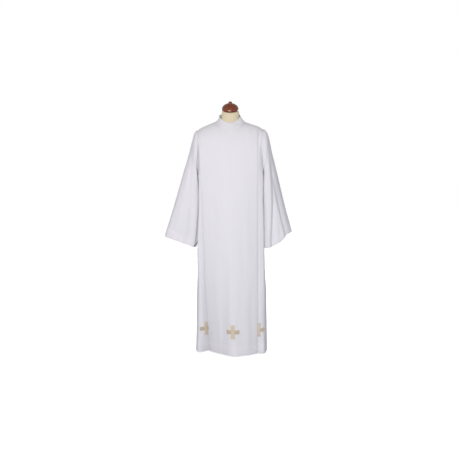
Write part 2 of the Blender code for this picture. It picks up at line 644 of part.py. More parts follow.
def lathe(profile, count, centre, tilt):
    """Rings turned about an axis that leans towards the front by tilt degrees."""
    angle = math.radians(tilt)
    rings = []
    for height, radius in profile:
        ring = []
        for k in range(count):
            t = 2 * math.pi * k / count
            x, y = radius * math.cos(t), radius * math.sin(t)
            ring.append((centre[0] + x,
                         centre[1] + y * math.cos(angle) - height * math.sin(angle),
                         centre[2] + y * math.sin(angle) + height * math.cos(angle)))
        rings.append(ring)
    return rings


def make_stand():
    rings_solid("neck_cap", lathe(CAP_PROFILE, 32, (0, CAP_Y, CAP_Z), CAP_TILT), "cap_wood")
    foot = ((0.0, FOOT_R - 2), (2.0, FOOT_R), (FOOT_HIGH - 5, FOOT_R), (FOOT_HIGH, FOOT_R - 6),
            (FOOT_HIGH + 1, COLLET_R + 4), (COLLET_HIGH - 2, COLLET_R), (COLLET_HIGH, COLLET_R - 2))
    rings_solid("stand_foot", lathe(foot, 40, (0, 0, 0), 0), "stand_steel")
    start, end = COLLET_HIGH + 0.3, FORM_LOW - 0.3
    pole = ((start, POLE_R), (end - 20, POLE_R), (end - 16, POLE_R + 12), (end, POLE_R + 12))
    rings_solid("stand_pole", lathe(pole, 24, (0, 0, 0), 0), "stand_steel")


MADE = {}


def make_materials():
    for name, (colour, roughness, metallic) in MATERIALS.items():
        material = bpy.data.materials.new(name)
        material.use_nodes = True
        shader = material.node_tree.nodes["Principled BSDF"]
        shader.inputs["Base Color"].default_value = (*colour, 1.0)
        shader.inputs["Roughness"].default_value = roughness
        shader.inputs["Metallic"].default_value = metallic
        MADE[name] = material


def main():
    for obj in list(bpy.data.objects):
        bpy.data.objects.remove(obj, do_unlink=True)
    make_materials()
    front = Panel(FRONT_RIGHT, FRONT_LEFT, FRONT_MIDDLE, FRONT_TROUGHS, FRONT_FOLD_TOPS,
                  -1, (8, 19))
    back = Panel(BACK_RIGHT, BACK_LEFT, BACK_MIDDLE, BACK_TROUGHS, BACK_FOLD_TOPS,
                 1, (8, 19))
    cloth = {"front": make_panel("front_panel", front), "back": make_panel("back_panel", back)}
    make_sleeve("sleeve_right", SLEEVE_RIGHT, RIGHT_SLEEVE_FOLDS, RIGHT_CUFF_DROP, -1)
    make_sleeve("sleeve_left", SLEEVE_LEFT, LEFT_SLEEVE_FOLDS, LEFT_CUFF_DROP, 1)
    make_collar(front, back)
    for name, side, region, x, z, gap in CROSSES:
        panel = front if side == "front" else back
        make_cross(name, panel, cloth[side], region, x, z, gap)
    make_form()
    make_stand()


main()
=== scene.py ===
"""Finish of a white alb with a stand collar, worn on a limbless dress form on a round foot.

Tables are in millimetres; finished meshes, panel settings and the stage are in metres.
The front faces -Y, +X is the wearer's left, +Z is up, and the floor is at zero.
"""

import math

import bpy
import numpy as np
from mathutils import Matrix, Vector, noise


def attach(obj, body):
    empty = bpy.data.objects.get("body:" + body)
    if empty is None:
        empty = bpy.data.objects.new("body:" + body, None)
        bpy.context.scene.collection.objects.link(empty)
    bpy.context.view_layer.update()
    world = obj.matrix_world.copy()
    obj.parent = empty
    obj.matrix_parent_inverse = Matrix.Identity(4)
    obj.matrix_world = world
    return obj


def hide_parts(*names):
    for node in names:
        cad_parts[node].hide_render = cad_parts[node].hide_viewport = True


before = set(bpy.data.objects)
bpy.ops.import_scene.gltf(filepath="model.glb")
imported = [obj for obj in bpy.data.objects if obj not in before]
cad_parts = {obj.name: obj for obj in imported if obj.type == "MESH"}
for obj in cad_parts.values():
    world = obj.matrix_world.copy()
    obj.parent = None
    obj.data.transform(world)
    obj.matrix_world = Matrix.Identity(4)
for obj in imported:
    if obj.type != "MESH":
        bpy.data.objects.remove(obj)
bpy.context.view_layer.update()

bl_info = {
    "name": "Alb with Embroidered Crosses",
    "version": (1, 0, 0),
    "blender": (4, 5, 0),
    "location": "3D View > Sidebar > Alb",
    "description": "Builds a white alb on a dress form, its stitching and its crosses",
    "category": "Object",
}

MM = 0.001

# ---------------------------------------------------------------- cut of the robe

HEM_Z = 10.0  # lower edge above the floor
SEAM = 0.16  # half the gap where two pieces are sewn
CHEST_Z = 1200.0  # height where the cloth starts to round over the chest
TOP_SECTION_Z = 1400.0  # highest row of the fold sections
ARM_X, ARM_Z, ARM_HIGH, ARM_DEEP = 200.0, 1243.0, 135.0, 72.0  # armhole oval
LEFT_TIP_RISE = 7.0  # the left shoulder point sits a little higher
SHOULDER_FALL = 0.43  # fall of the shoulder seam for each step outwards
TIP_FALL, TIP_START, TIP_RUN = 7.0, 170.0, 40.0  # its extra fall near the tip
NECK_X, NECK_FRONT, NECK_BACK, NECK_Z = 83.0, 70.0, 60.0, 1435.0  # neck seam oval
NECK_RISE_FRONT, NECK_RISE_BACK = 0.60, 0.22
COLLAR_STEEP = 62.0  # degrees from level to the collar's wall
COLLAR_HIGH, COLLAR_BACK_RISE, COLLAR_LEFT_RISE = 35.0, 8.0, 2.5
COLLAR_WALL = 2.4
COLLAR_SWELL, COLLAR_HOLLOW = 1.2, 4.4  # bow of its wall in front, and inwards at the sides
COLLAR_LEFT_LEAN = 5.0  # how far its top leans in on the left
COLLAR_WAVES = ((0.35, 5, 0), (0.25, 11, 40))  # unevenness: size, waves round, first degree
COLLAR_SINK = 0.3  # how far its lower edge dips below the seam, where it isn't lapped
LAP_START, LAP_END, LAP_RAMP = 66.0, 452.0, 396.0  # degrees round the neck
LAP_LIFT = 0.5  # air between the lap and the band under it

# Fold sections, a row for each height. Distances from the middle, both ways from the seam:
# z, side, lobe x, y, behind x, y, tuck x, y, edge x, y, gap between the layers.
FRONT_RIGHT = (
    (10, 215, 200, 122, 138, 46, 98, 44, 130, 68, 10),
    (180, 211, 198, 106, 150, 66, 106, 58, 136, 83, 9),
    (430, 206, 197, 98, 160, 80, 128, 74, 154, 99, 9),
    (640, 194, 210, 92, 167, 88, 139, 79, 162, 101, 10),
    (800, 177, 207, 90, 170, 90, 149, 80, 167, 102, 9),
    (950, 170, 202, 82, 174, 90, 156, 84, 172, 102, 8),
    (1090, 181, 199, 66, 182, 80, 170, 80, 180, 95, 6),
    (1200, 198, 197, 54, 190, 72, 183, 79, 187, 90, 4),
    (1400, 199, 198, 56, 194, 74, 188, 80, 189, 88, 3),
)
FRONT_LEFT = (
    (10, 232, 208, 148, 177, 118, 136, 108, 168, 124, 8),
    (180, 229, 217, 111, 180, 115, 138, 106, 170, 120, 7),
    (430, 223, 215, 111, 178, 112, 140, 103, 169, 117, 6),
    (640, 200, 219, 94, 175, 107, 142, 98, 168, 112, 5),
    (800, 182, 220, 88, 174, 104, 145, 97, 168, 110, 5),
    (950, 180, 213, 82, 174, 101, 148, 96, 168, 107, 4),
    (1090, 186, 212, 70, 175, 95, 152, 92, 168, 101, 4),
    (1200, 198, 199, 60, 178, 91, 158, 89, 167, 98, 3),
    (1400, 199, 197, 58, 178, 80, 160, 85, 163, 94, 3),
)
BACK_RIGHT = (
    (10, 215, 203, 94, 152, 112, 104, 118, 132, 142, 12),
    (180, 211, 201, 88, 152, 108, 106, 114, 132, 137, 12),
    (430, 206, 197, 82, 152, 100, 110, 108, 132, 128, 11),
    (640, 194, 196, 80, 152, 94, 114, 102, 132, 120, 10),
    (800, 177, 192, 78, 151, 90, 116, 99, 132, 116, 9),
    (950, 170, 188, 74, 150, 86, 118, 96, 132, 112, 8),
    (1090, 181, 190, 66, 155, 83, 123, 94, 132, 107, 6),
    (1200, 198, 192, 56, 160, 80, 128, 92, 132, 102, 5),
    (1400, 199, 194, 56, 162, 80, 131, 90, 131, 98, 3),
)
BACK_LEFT = (
    (10, 232, 214, 96, 158, 114, 108, 120, 138, 144, 12),
    (180, 229, 212, 90, 158, 110, 110, 116, 138, 139, 12),
    (430, 223, 209, 84, 158, 102, 114, 110, 138, 130, 11),
    (640, 200, 202, 82, 157, 96, 118, 104, 137, 122, 10),
    (800, 182, 198, 80, 155, 91, 120, 101, 136, 117, 9),
    (950, 180, 196, 76, 154, 87, 122, 98, 136, 113, 8),
    (1090, 186, 195, 66, 158, 84, 127, 95, 136, 108, 6),
    (1200, 198, 192, 57, 162, 81, 132, 93, 136, 103, 5),
    (1400, 199, 194, 57, 164, 81, 134, 91, 134, 99, 3),
)

FRONT_FOLD_TOPS, BACK_FOLD_TOPS = (188.0, 162.0), (131.0, 133.0)  # at the shoulder: right, left
LOBE_START = 0.42  # share of the lobe's depth where the cloth leaves the side seam
HIDDEN_GAP, EDGE_GAP = 0.5, 0.6  # shares of the gap at the tuck and at the folded edge

# Middle of each panel: z, x of the ridge and how far it stands out.
FRONT_MIDDLE = ((10, 24, 195), (180, 22, 178), (430, 16, 161), (680, 9, 151),
                (950, 3, 140), (1200, 0, 121), (1400, 0, 120))
BACK_MIDDLE = ((10, -6, 176), (180, -5, 170), (430, -4, 160), (680, -2, 149),
               (950, 0, 136), (1200, 0, 118), (1400, 0, 112))

ROUND_SHARE = 0.8  # how far the middle is rounded rather than peaked

# Soft troughs down the middle: x at the hem, x at the top, top z, depth, half-width.
FRONT_TROUGHS = ((-46, -36, 800, 13.0, 32), (78, 52, 560, 4.0, 20), (-86, -80, 420, 3.0, 16))
BACK_TROUGHS = ((-46, -36, 900, 8.0, 22), (52, 44, 760, 7.0, 20))

# Creases: region, start x, z, end x, z, sideways bend, rise (a dip if below
# zero) and half-width. They fade out at both ends.
FRONT_CREASES = (
    ("middle", -36, 1060, -31, 640, 4, -1.8, 15),
    ("middle", -8, 800, -4, 90, 3, 2.0, 13),
    ("middle", -3, 1330, 1, 1050, -3, 0.9, 10),
    ("middle", 58, 900, 84, 330, 6, -1.6, 18),
    ("middle", 100, 1120, 112, 520, -5, 1.6, 20),
    ("middle", -124, 1160, -70, 760, -14, -1.8, 17),
    ("middle", -148, 760, -60, 690, -10, -1.4, 22),
    ("middle", -120, 560, -104, 90, 4, -2.0, 18),
    ("middle", 132, 480, 138, 60, -3, -1.6, 14),
    ("middle", 40, 300, 52, 20, 2, -2.4, 14),
    ("middle", -62, 260, -64, 20, 0, 1.8, 14),
    ("middle", 110, 240, 116, 20, 0, 2.0, 13),
    ("middle", 142, 1300, 92, 1110, 12, -1.1, 15),
    ("middle", -152, 1310, -98, 1130, -12, -1.1, 15),
    ("middle", -60, 1372, -18, 1290, -6, -0.8, 11),
    ("middle", 64, 1376, 22, 1300, 6, -0.7, 11),
    ("right", -186, 900, -184, 300, 4, -2.0, 12),
    ("right", -176, 420, -170, 40, 3, 2.2, 11),
    ("left", 196, 820, 200, 240, -4, -2.2, 12),
    ("left", 188, 520, 186, 60, 3, 2.0, 11),
)
BACK_CREASES = (
    ("middle", 2, 1180, -8, 120, 8, 1.8, 18),
    ("middle", -92, 1080, -104, 200, -6, -2.6, 17),
    ("middle", 96, 1010, 110, 160, 8, -2.8, 18),
    ("middle", -120, 700, -124, 40, 2, 2.0, 13),
    ("middle", 22, 640, 24, 30, -4, -2.2, 15),
    ("middle", -20, 420, -16, 20, 3, 2.0, 13),
    ("middle", 74, 520, 78, 30, 4, 2.0, 13),
    ("middle", 118, 1310, 70, 1120, 12, -1.0, 15),
    ("middle", -118, 1310, -72, 1120, -12, -1.0, 15),
    ("middle", 0, 1380, 2, 1210, 3, -0.8, 14),
    ("right", -172, 940, -178, 200, -4, -2.0, 13),
    ("left", 182, 900, 190, 180, 5, -2.0, 13),
)
PANELS = {
    "front": (FRONT_RIGHT, FRONT_LEFT, FRONT_MIDDLE, FRONT_TROUGHS, FRONT_FOLD_TOPS, -1,
              FRONT_CREASES),
    "back": (BACK_RIGHT, BACK_LEFT, BACK_MIDDLE, BACK_TROUGHS, BACK_FOLD_TOPS, 1, BACK_CREASES),
}

# Sleeves, a row for each ring: share of the way down, outer x, z, inner x, z, depth, middle y.
SLEEVE_RIGHT = (
    (0.00, 200, 1378, 200, 1108, 72, 0),
    (0.03, 211, 1374, 204, 1103, 74, 0),
    (0.08, 222, 1354, 202, 1087, 76, 0),
    (0.16, 234, 1314, 194, 1052, 76, 0),
    (0.30, 252, 1242, 186, 986, 74, 2),
    (0.50, 289, 1118, 183, 906, 68, -4),
    (0.70, 332, 968, 186, 823, 62, -10),
    (0.86, 372, 842, 192, 746, 56, -14),
    (0.95, 396, 768, 199, 708, 53, -16),
    (1.00, 407, 729, 204, 690, 51, -17),
)
SLEEVE_LEFT = (
    (0.00, 200, 1385, 200, 1108, 72, 0),
    (0.03, 213, 1381, 205, 1103, 74, 0),
    (0.08, 230, 1358, 203, 1087, 76, 0),
    (0.16, 243, 1318, 199, 1052, 76, 0),
    (0.30, 260, 1242, 197, 986, 75, -6),
    (0.50, 292, 1118, 198, 906, 70, -14),
    (0.70, 327, 974, 199, 820, 64, -20),
    (0.86, 359, 856, 198, 738, 59, -26),
    (0.95, 378, 788, 204, 696, 56, -28),
    (1.00, 387, 750, 208, 676, 54, -28),
)
# How far the cuff's edge drops below its line, by degrees round from the outer edge.
RIGHT_CUFF_DROP = ((0, 0), (60, 9), (85, 16), (107, 23), (132, 31), (143, 34), (155, 17),
                   (166, 2), (180, -6), (192, 12), (204, 34), (216, 42), (240, 30), (280, 10),
                   (330, 0), (360, 0))
LEFT_CUFF_DROP = ((0, 0), (48, -3), (60, 3), (72, 17), (85, 25), (111, 30), (135, 29), (160, 20),
                  (180, 12), (200, 24), (218, 32), (245, 24), (290, 9), (330, 0), (360, 0))
# Sleeve folds: degrees round at the shoulder and at the cuff, start and end along the sleeve,
# depth (a ridge if below zero) and half-width in degrees.
RIGHT_SLEEVE_FOLDS = (
    (24, 134, 0.10, 0.6, 4.5, 11), (118, 108, 0.20, 1.2, 5.0, 12),
    (236, 250, 0.25, 1.2, 7.0, 15), (296, 290, 0.35, 1.2, 5.0, 14),
    (36, 48, 0.10, 0.9, 1.6, 8), (88, 92, 0.35, 1.1, -1.8, 9), (154, 152, 0.05, 0.9, 6.0, 10),
    (210, 216, 0.10, 0.9, 2.0, 8), (268, 272, 0.30, 1.1, -2.0, 9), (326, 330, 0.05, 0.8, 1.6, 9),
)
LEFT_SLEEVE_FOLDS = (
    (76, 68, 0.40, 1.20, -3.0, 13), (122, 116, 0.05, 0.5, -4.0, 26),
    (232, 246, 0.25, 1.2, 8.0, 15), (292, 286, 0.35, 1.2, 5.0, 14),
    (12, 22, 0.10, 1.0, 5.0, 15), (50, 92, 0.25, 1.1, -4.0, 9), (150, 152, 0.05, 0.8, -2.0, 7),
    (206, 212, 0.10, 0.9, 2.0, 8), (264, 268, 0.30, 1.1, -2.0, 9), (324, 328, 0.05, 0.8, 1.6, 9),
)
# Steps back (forward if below zero) on the side of the sleeve's outer edge: columns as above,
# with the whole width of the step.
RIGHT_SLEEVE_STEPS = ((150, 152, 0.10, 0.8, -3.0, 16),)
LEFT_SLEEVE_STEPS = ((36, 124, 0.03, 0.5, 21.0, 25), (71, 62, 0.33, 0.8, 17.0, 13))
STEP_WIDE, STEP_NARROWING = 1.25, 0.75  # a step's width at the shoulder, and its loss at the cuff
STEP_BACK_START, STEP_BACK_RUN = 250.0, 110.0  # degrees where a step dies out on the back
FOLD_GROWTH = 0.85  # share of a fold's run in which it reaches its depth
SLEEVE_FLAT, FLAT_BY = 0.3, 0.3  # flattening of its front and back, and where it is complete
RIGHT_LEAN, LEFT_LEAN = 0.0, 0.17  # how far the outer edge hangs back, as a share of the depth
LEAN_START, LEAN_BY, LEAN_POWER = 0.45, 0.2, 1.3  # its reach round and down, and its curve
CUFF_DROP_FROM = 0.72  # share of the way down where the cuff's slant begins
SEAM_CALM = 0.06  # share of the way down over which folds and swells set in
RING_COUNT = 132  # points round each ring
SLEEVES = {
    "right": (SLEEVE_RIGHT, RIGHT_SLEEVE_FOLDS, RIGHT_SLEEVE_STEPS, RIGHT_CUFF_DROP, -1,
              RIGHT_LEAN),
    "left": (SLEEVE_LEFT, LEFT_SLEEVE_FOLDS, LEFT_SLEEVE_STEPS, LEFT_CUFF_DROP, 1, LEFT_LEAN),
}

# Crosses: name, panel, part of the section, middle x and z.
CROSSES = (
    ("front_middle", "front", "middle", 15.0, 155.0),
    ("front_right", "front", "right", -151.0, 155.0),
    ("front_left", "front", "left", 175.0, 155.0),
    ("back_middle", "back", "middle", 4.0, 152.0),
    ("back_right", "back", "right", -172.0, 152.0),
    ("back_left", "back", "left", 180.0, 152.0),
)

# Form, cap and stand.
FORM_ARM_X, FORM_GAP = 187.0, 2.2  # half-width at the armholes, and room under the cloth
FORM_CHEST_X, FORM_CHEST_POWER = 205.0, 2.4  # half-width and squareness of its chest
FORM_CHEST_FRONT, FORM_CHEST_BACK = 106.0, 99.0
FORM_RIM = 4.0  # least depth along the form's sides
NECK_FORM = (64.0, 44.0, 40.0)  # half-width, front and back depth at the neck's root
NECK_SEAT = 1419.0  # height where the chest ends and the neck begins
# Waist: height, half-width and depth. Neck: height, middle x, half-width, depth, middle y, lean.
FORM_SECTIONS = ((820, 128, 88), (824, 134, 93), (880, 142, 98), (960, 146, 100),
                 (1040, 152, 100), (1120, 163, 100), (1180, 176, 100))
NECK_RINGS = ((1424, 1, 64, 42.5, -4, 2), (1440, -1, 59.5, 41.5, -4.5, 4),
              (1455, -1, 55.5, 43, -6, 12), (1470, 0.5, 54, 45, -8, 18),
              (1483, 1.5, 53.5, 46, -9, 23), (1492, 0.5, 51, 46.5, -8.5, 26),
              (1502.4, 0, 47, 46, -8, 26))
CAP_TILT, CAP_Y, CAP_Z = 26.0, -8.0, 1503.0
# Turned profiles: pairs of height and radius.
CAP_PROFILE = ((0.0, 45.5), (2.0, 49.5), (6.0, 51.0), (11.0, 50.6), (17.0, 48.0), (24.0, 43.0),
               (30.0, 36.0), (34.5, 27.5), (38.0, 17.5), (41.0, 12.8), (44.0, 11.4), (47.5, 11.4),
               (50.5, 9.8), (53.0, 6.8), (54.6, 2.5))
FOOT_PROFILE = ((0.0, 95.0), (0.8, 97.4), (2.0, 98.0), (9.0, 98.0), (11.5, 97.2), (13.4, 95.0),
                (14.2, 90.0), (14.9, 60.0), (15.0, 27.0), (16.5, 24.0), (18.5, 22.6), (31.0, 22.0),
                (33.2, 21.4), (34.0, 19.6))
POLE_PROFILE = ((34.3, 12.5), (799.0, 12.5), (800.5, 13.5), (802.0, 22.0), (804.0, 24.5),
                (817.0, 24.5), (819.0, 23.6), (819.7, 22.0))

# ---------------------------------------------------------------- stage, in metres

VIEW_X, VIEW_DISTANCE, VIEW_HEIGHT, AIM_HEIGHT = -0.0075, 4.2, 1.192, 0.769
VIEW_LENS, VIEW_SENSOR = 53.09, 36.0  # millimetres
FLOOR_RADIUS, FLOOR_CORNERS = 14, 64
SKY_COLOUR = (0.985, 0.975, 1.0)
SKY_OVERHEAD = 0.35  # strength of the room's light from straight above, as a share of it
# Lamps: name, place, aim, size, which setting drives it, times what, colour.
LAMPS = (
    ("main_light", (-0.5, -3.45, 1.38), (0, 0, 1.0), 1.1, "key", 1.0, (1.0, 0.975, 0.94)),
    ("side_light", (2.2, -2.0, 1.5), (0, 0, 0.8), 1.4, "fill", 1.4, (0.95, 0.97, 1.0)),
    ("back_light", (0.6, 3.4, 1.2), (0, 0, 0.8), 1.3, "fill", 12.0, (1.0, 0.98, 0.95)),
)


# ---------------------------------------------------------------- shape helpers

def smooth(value):
    """A ramp from 0 to 1 with soft ends."""
    t = np.clip(value, 0.0, 1.0)
    return t * t * (3.0 - 2.0 * t)


def unit(vectors):
    """Each vector at length one."""
    vectors = np.asarray(vectors, float)
    return vectors / np.linalg.norm(vectors, axis=-1, keepdims=True)


def from_table(rows, key):
    """The row of a table at this key, each column run smoothly between the rows."""
    table = np.array(rows, float)
    keys = table[:, 0]
    i = int(np.clip(np.searchsorted(keys, key) - 1, 0, len(keys) - 2))
    t = float(np.clip((key - keys[i]) / (keys[i + 1] - keys[i]), 0.0, 1.0))
    low = table[max(i - 1, 0)]
    high = table[min(i + 2, len(keys) - 1)]
    a, b = table[i], table[i + 1]
    span = b[0] - a[0]
    slope_a = (b - low) / (b[0] - low[0])
    slope_b = (high - a) / (high[0] - a[0])
    h = np.array([2 * t**3 - 3 * t**2 + 1, t**3 - 2 * t**2 + t,
                  -2 * t**3 + 3 * t**2, t**3 - t**2])
    return h[0] * a + h[1] * span * slope_a + h[2] * b + h[3] * span * slope_b


def spline(points, places):
    """A smooth run past the control points, at these places counted in control points."""
    points = np.array(points, float)
    run = np.vstack([points[1] * (1, -1), points, points[-2] * (1, -1)])
    i = np.clip(np.floor(places).astype(int), 0, len(points) - 2)
    t = (places - i)[:, None]
    a, b, c, d = run[i], run[i + 1], run[i + 2], run[i + 3]
    return ((1 - t)**3 * a + (3 * t**3 - 6 * t**2 + 4) * b
            + (-3 * t**3 + 3 * t**2 + 3 * t + 1) * c + t**3 * d) / 6.0


def grid_normals(grid, turn, ring=False):
    """Directions square to a grid of points; the columns of a ring close on themselves."""
    if ring:
        across = np.roll(grid, -1, axis=1) - np.roll(grid, 1, axis=1)
    else:
        across = np.gradient(grid, axis=1)
    return unit(turn * np.cross(across, np.gradient(grid, axis=0)))


def ripple(points, wide, high, amount, seed):
    """Small uneven swells of the cloth, longer upwards than across."""
    flat = points.reshape(-1, 3)
    swell = [noise.noise(Vector((x / wide + y / (2 * wide), z / high, seed)))
             for x, y, z in flat]
    return amount * np.array(swell).reshape(points.shape[:-1])


def shoulder_z(x):
    """Height of the shoulder seam, which drops a little faster near the tip."""
    out = abs(x)
    rise = LEFT_TIP_RISE * smooth((x - NECK_X) / (ARM_X - NECK_X))
    return (NECK_Z - SHOULDER_FALL * (out - NECK_X)
            - TIP_FALL * smooth((out - TIP_START) / TIP_RUN) + rise)


def neck_frame(angle, facing):
    """A point of the neck seam, the wall's direction there and the way the collar rises."""
    deep, rise = (NECK_FRONT, NECK_RISE_FRONT) if facing < 0 else (NECK_BACK, NECK_RISE_BACK)
    s, c = math.sin(angle), math.cos(angle)
    point = np.array((NECK_X * s, facing * deep * c, NECK_Z + rise * facing * deep * c))
    outward = unit((s / NECK_X, facing * c / deep, 0.0))
    along = unit((NECK_X * c, -facing * deep * s, -rise * facing * deep * s))
    steep = math.radians(COLLAR_STEEP)
    up = np.array((0.0, 0.0, math.sin(steep))) - outward * math.cos(steep)
    up = unit(up - along * np.dot(up, along))
    normal = unit(np.cross(along, up))
    return point, normal if np.dot(normal, outward) > 0 else -normal, up


# ---------------------------------------------------------------- body panels

MIDDLE_POINTS = 9
SPANS = 2 * 7 + MIDDLE_POINTS + 1  # control points along one panel's section
FOLD_END, ARM_END = 7.0, 3.5  # where the folded part and the armhole end along it
REGIONS = {"right": (0.8, 3.6), "middle": (FOLD_END, SPANS - FOLD_END),
           "left": (SPANS - 3.6, SPANS - 0.8)}
CROSS_REGIONS = {"right": (2.0, 4.0), "middle": REGIONS["middle"],
                 "left": (SPANS - 4.0, SPANS - 2.0)}
LEVEL_STEP = 5.0  # mm between the worked-out sections
FADE = 30.0  # mm over which creases die out before a seam
EASE_ROWS, EASE_PASSES, EASE_PULL = 14, 60, 0.8  # easing of the cloth below the neck
EASE_X, EASE_RUN = 135, 45  # how far out it reaches and over how much it fades
# Swells of the cloth: across, upwards, amount and seed.
BODY_SWELLS = ((46.0, 170.0, 1.1, 3.7), (17.0, 40.0, 0.3, 9.1))
SLEEVE_SWELLS = ((40.0, 120.0, 1.2, 5.3), (15.0, 34.0, 0.35, 2.9))
CREASE_START, CREASE_END = 0.35, 0.25  # shares of a crease's run where it fades in and out
NECK_ROUND, NECK_ROUND_LESS = 90.0, 34.0  # degrees the cloth rounds over, and less in front
FOLD_COLUMNS, MIDDLE_COLUMNS = 58, 91  # columns of the grid in each folded part and between
LEVEL_ROWS, TOP_ROWS = 128, 33  # rows of the grid below the chest and above it
ARM_DROP = 0.95  # share of the armhole's height by which its columns start to round sooner
DROP_FROM, DROP_RUN = 0.08, 0.6  # shares of the way up over which their rows shift down
REGION_FADE = 0.4  # distance along the section over which a crease dies out at its region's edge
SIDE_CALM_FROM, SIDE_CALM_RUN = 0.1, 0.5  # the same for all swells at the side seams
HEM_ROWS = (0.0, 0.35, 1.1, 2.4, 6.0, 14.0, 24.0, 34.0, 44.0, 52.0, 56.0, 58.5, 60.5, 62.0, 63.5,
            65.5, 69.0, 75.0)


def relaxed(grid, chest_row):
    """The grid with the cloth near the neck eased, so that it runs smoothly into the seams."""
    rows = np.arange(len(grid))[:, None]
    near = smooth((rows - chest_row + EASE_ROWS) / EASE_ROWS) * np.ones(grid.shape[:2])
    near[-1] = 0
    near *= smooth((EASE_X - np.abs(grid[:, :, 0])) / EASE_RUN)
    for _ in range(EASE_PASSES):
        around = grid.copy()
        around[1:-1, 1:-1] = (grid[2:, 1:-1] + grid[:-2, 1:-1]
                              + 2 * grid[1:-1, 2:] + 2 * grid[1:-1, :-2]) / 6
        grid = grid + (around - grid) * near[:, :, None] * EASE_PULL
    return grid


def armhole_end(share, sign):
    """A point of the armhole seam, from its foot to the shoulder, and which way its wall faces."""
    angle = math.radians(-90 + 180 * share)
    high = ARM_Z + ARM_HIGH * math.sin(angle)
    high += LEFT_TIP_RISE / 2 * (1 + math.sin(angle)) if sign > 0 else 0.0
    return ((sign * (ARM_X - SEAM), ARM_DEEP * math.cos(angle), high),
            (0, ARM_HIGH * math.cos(angle), ARM_DEEP * math.sin(angle)))


def shoulder_end(x):
    """A point of the shoulder seam and which way its wall faces."""
    slope = (shoulder_z(x + 1.0) - shoulder_z(x - 1.0)) / 2.0
    return (x, 0, shoulder_z(x)), (-slope, 0, 1)


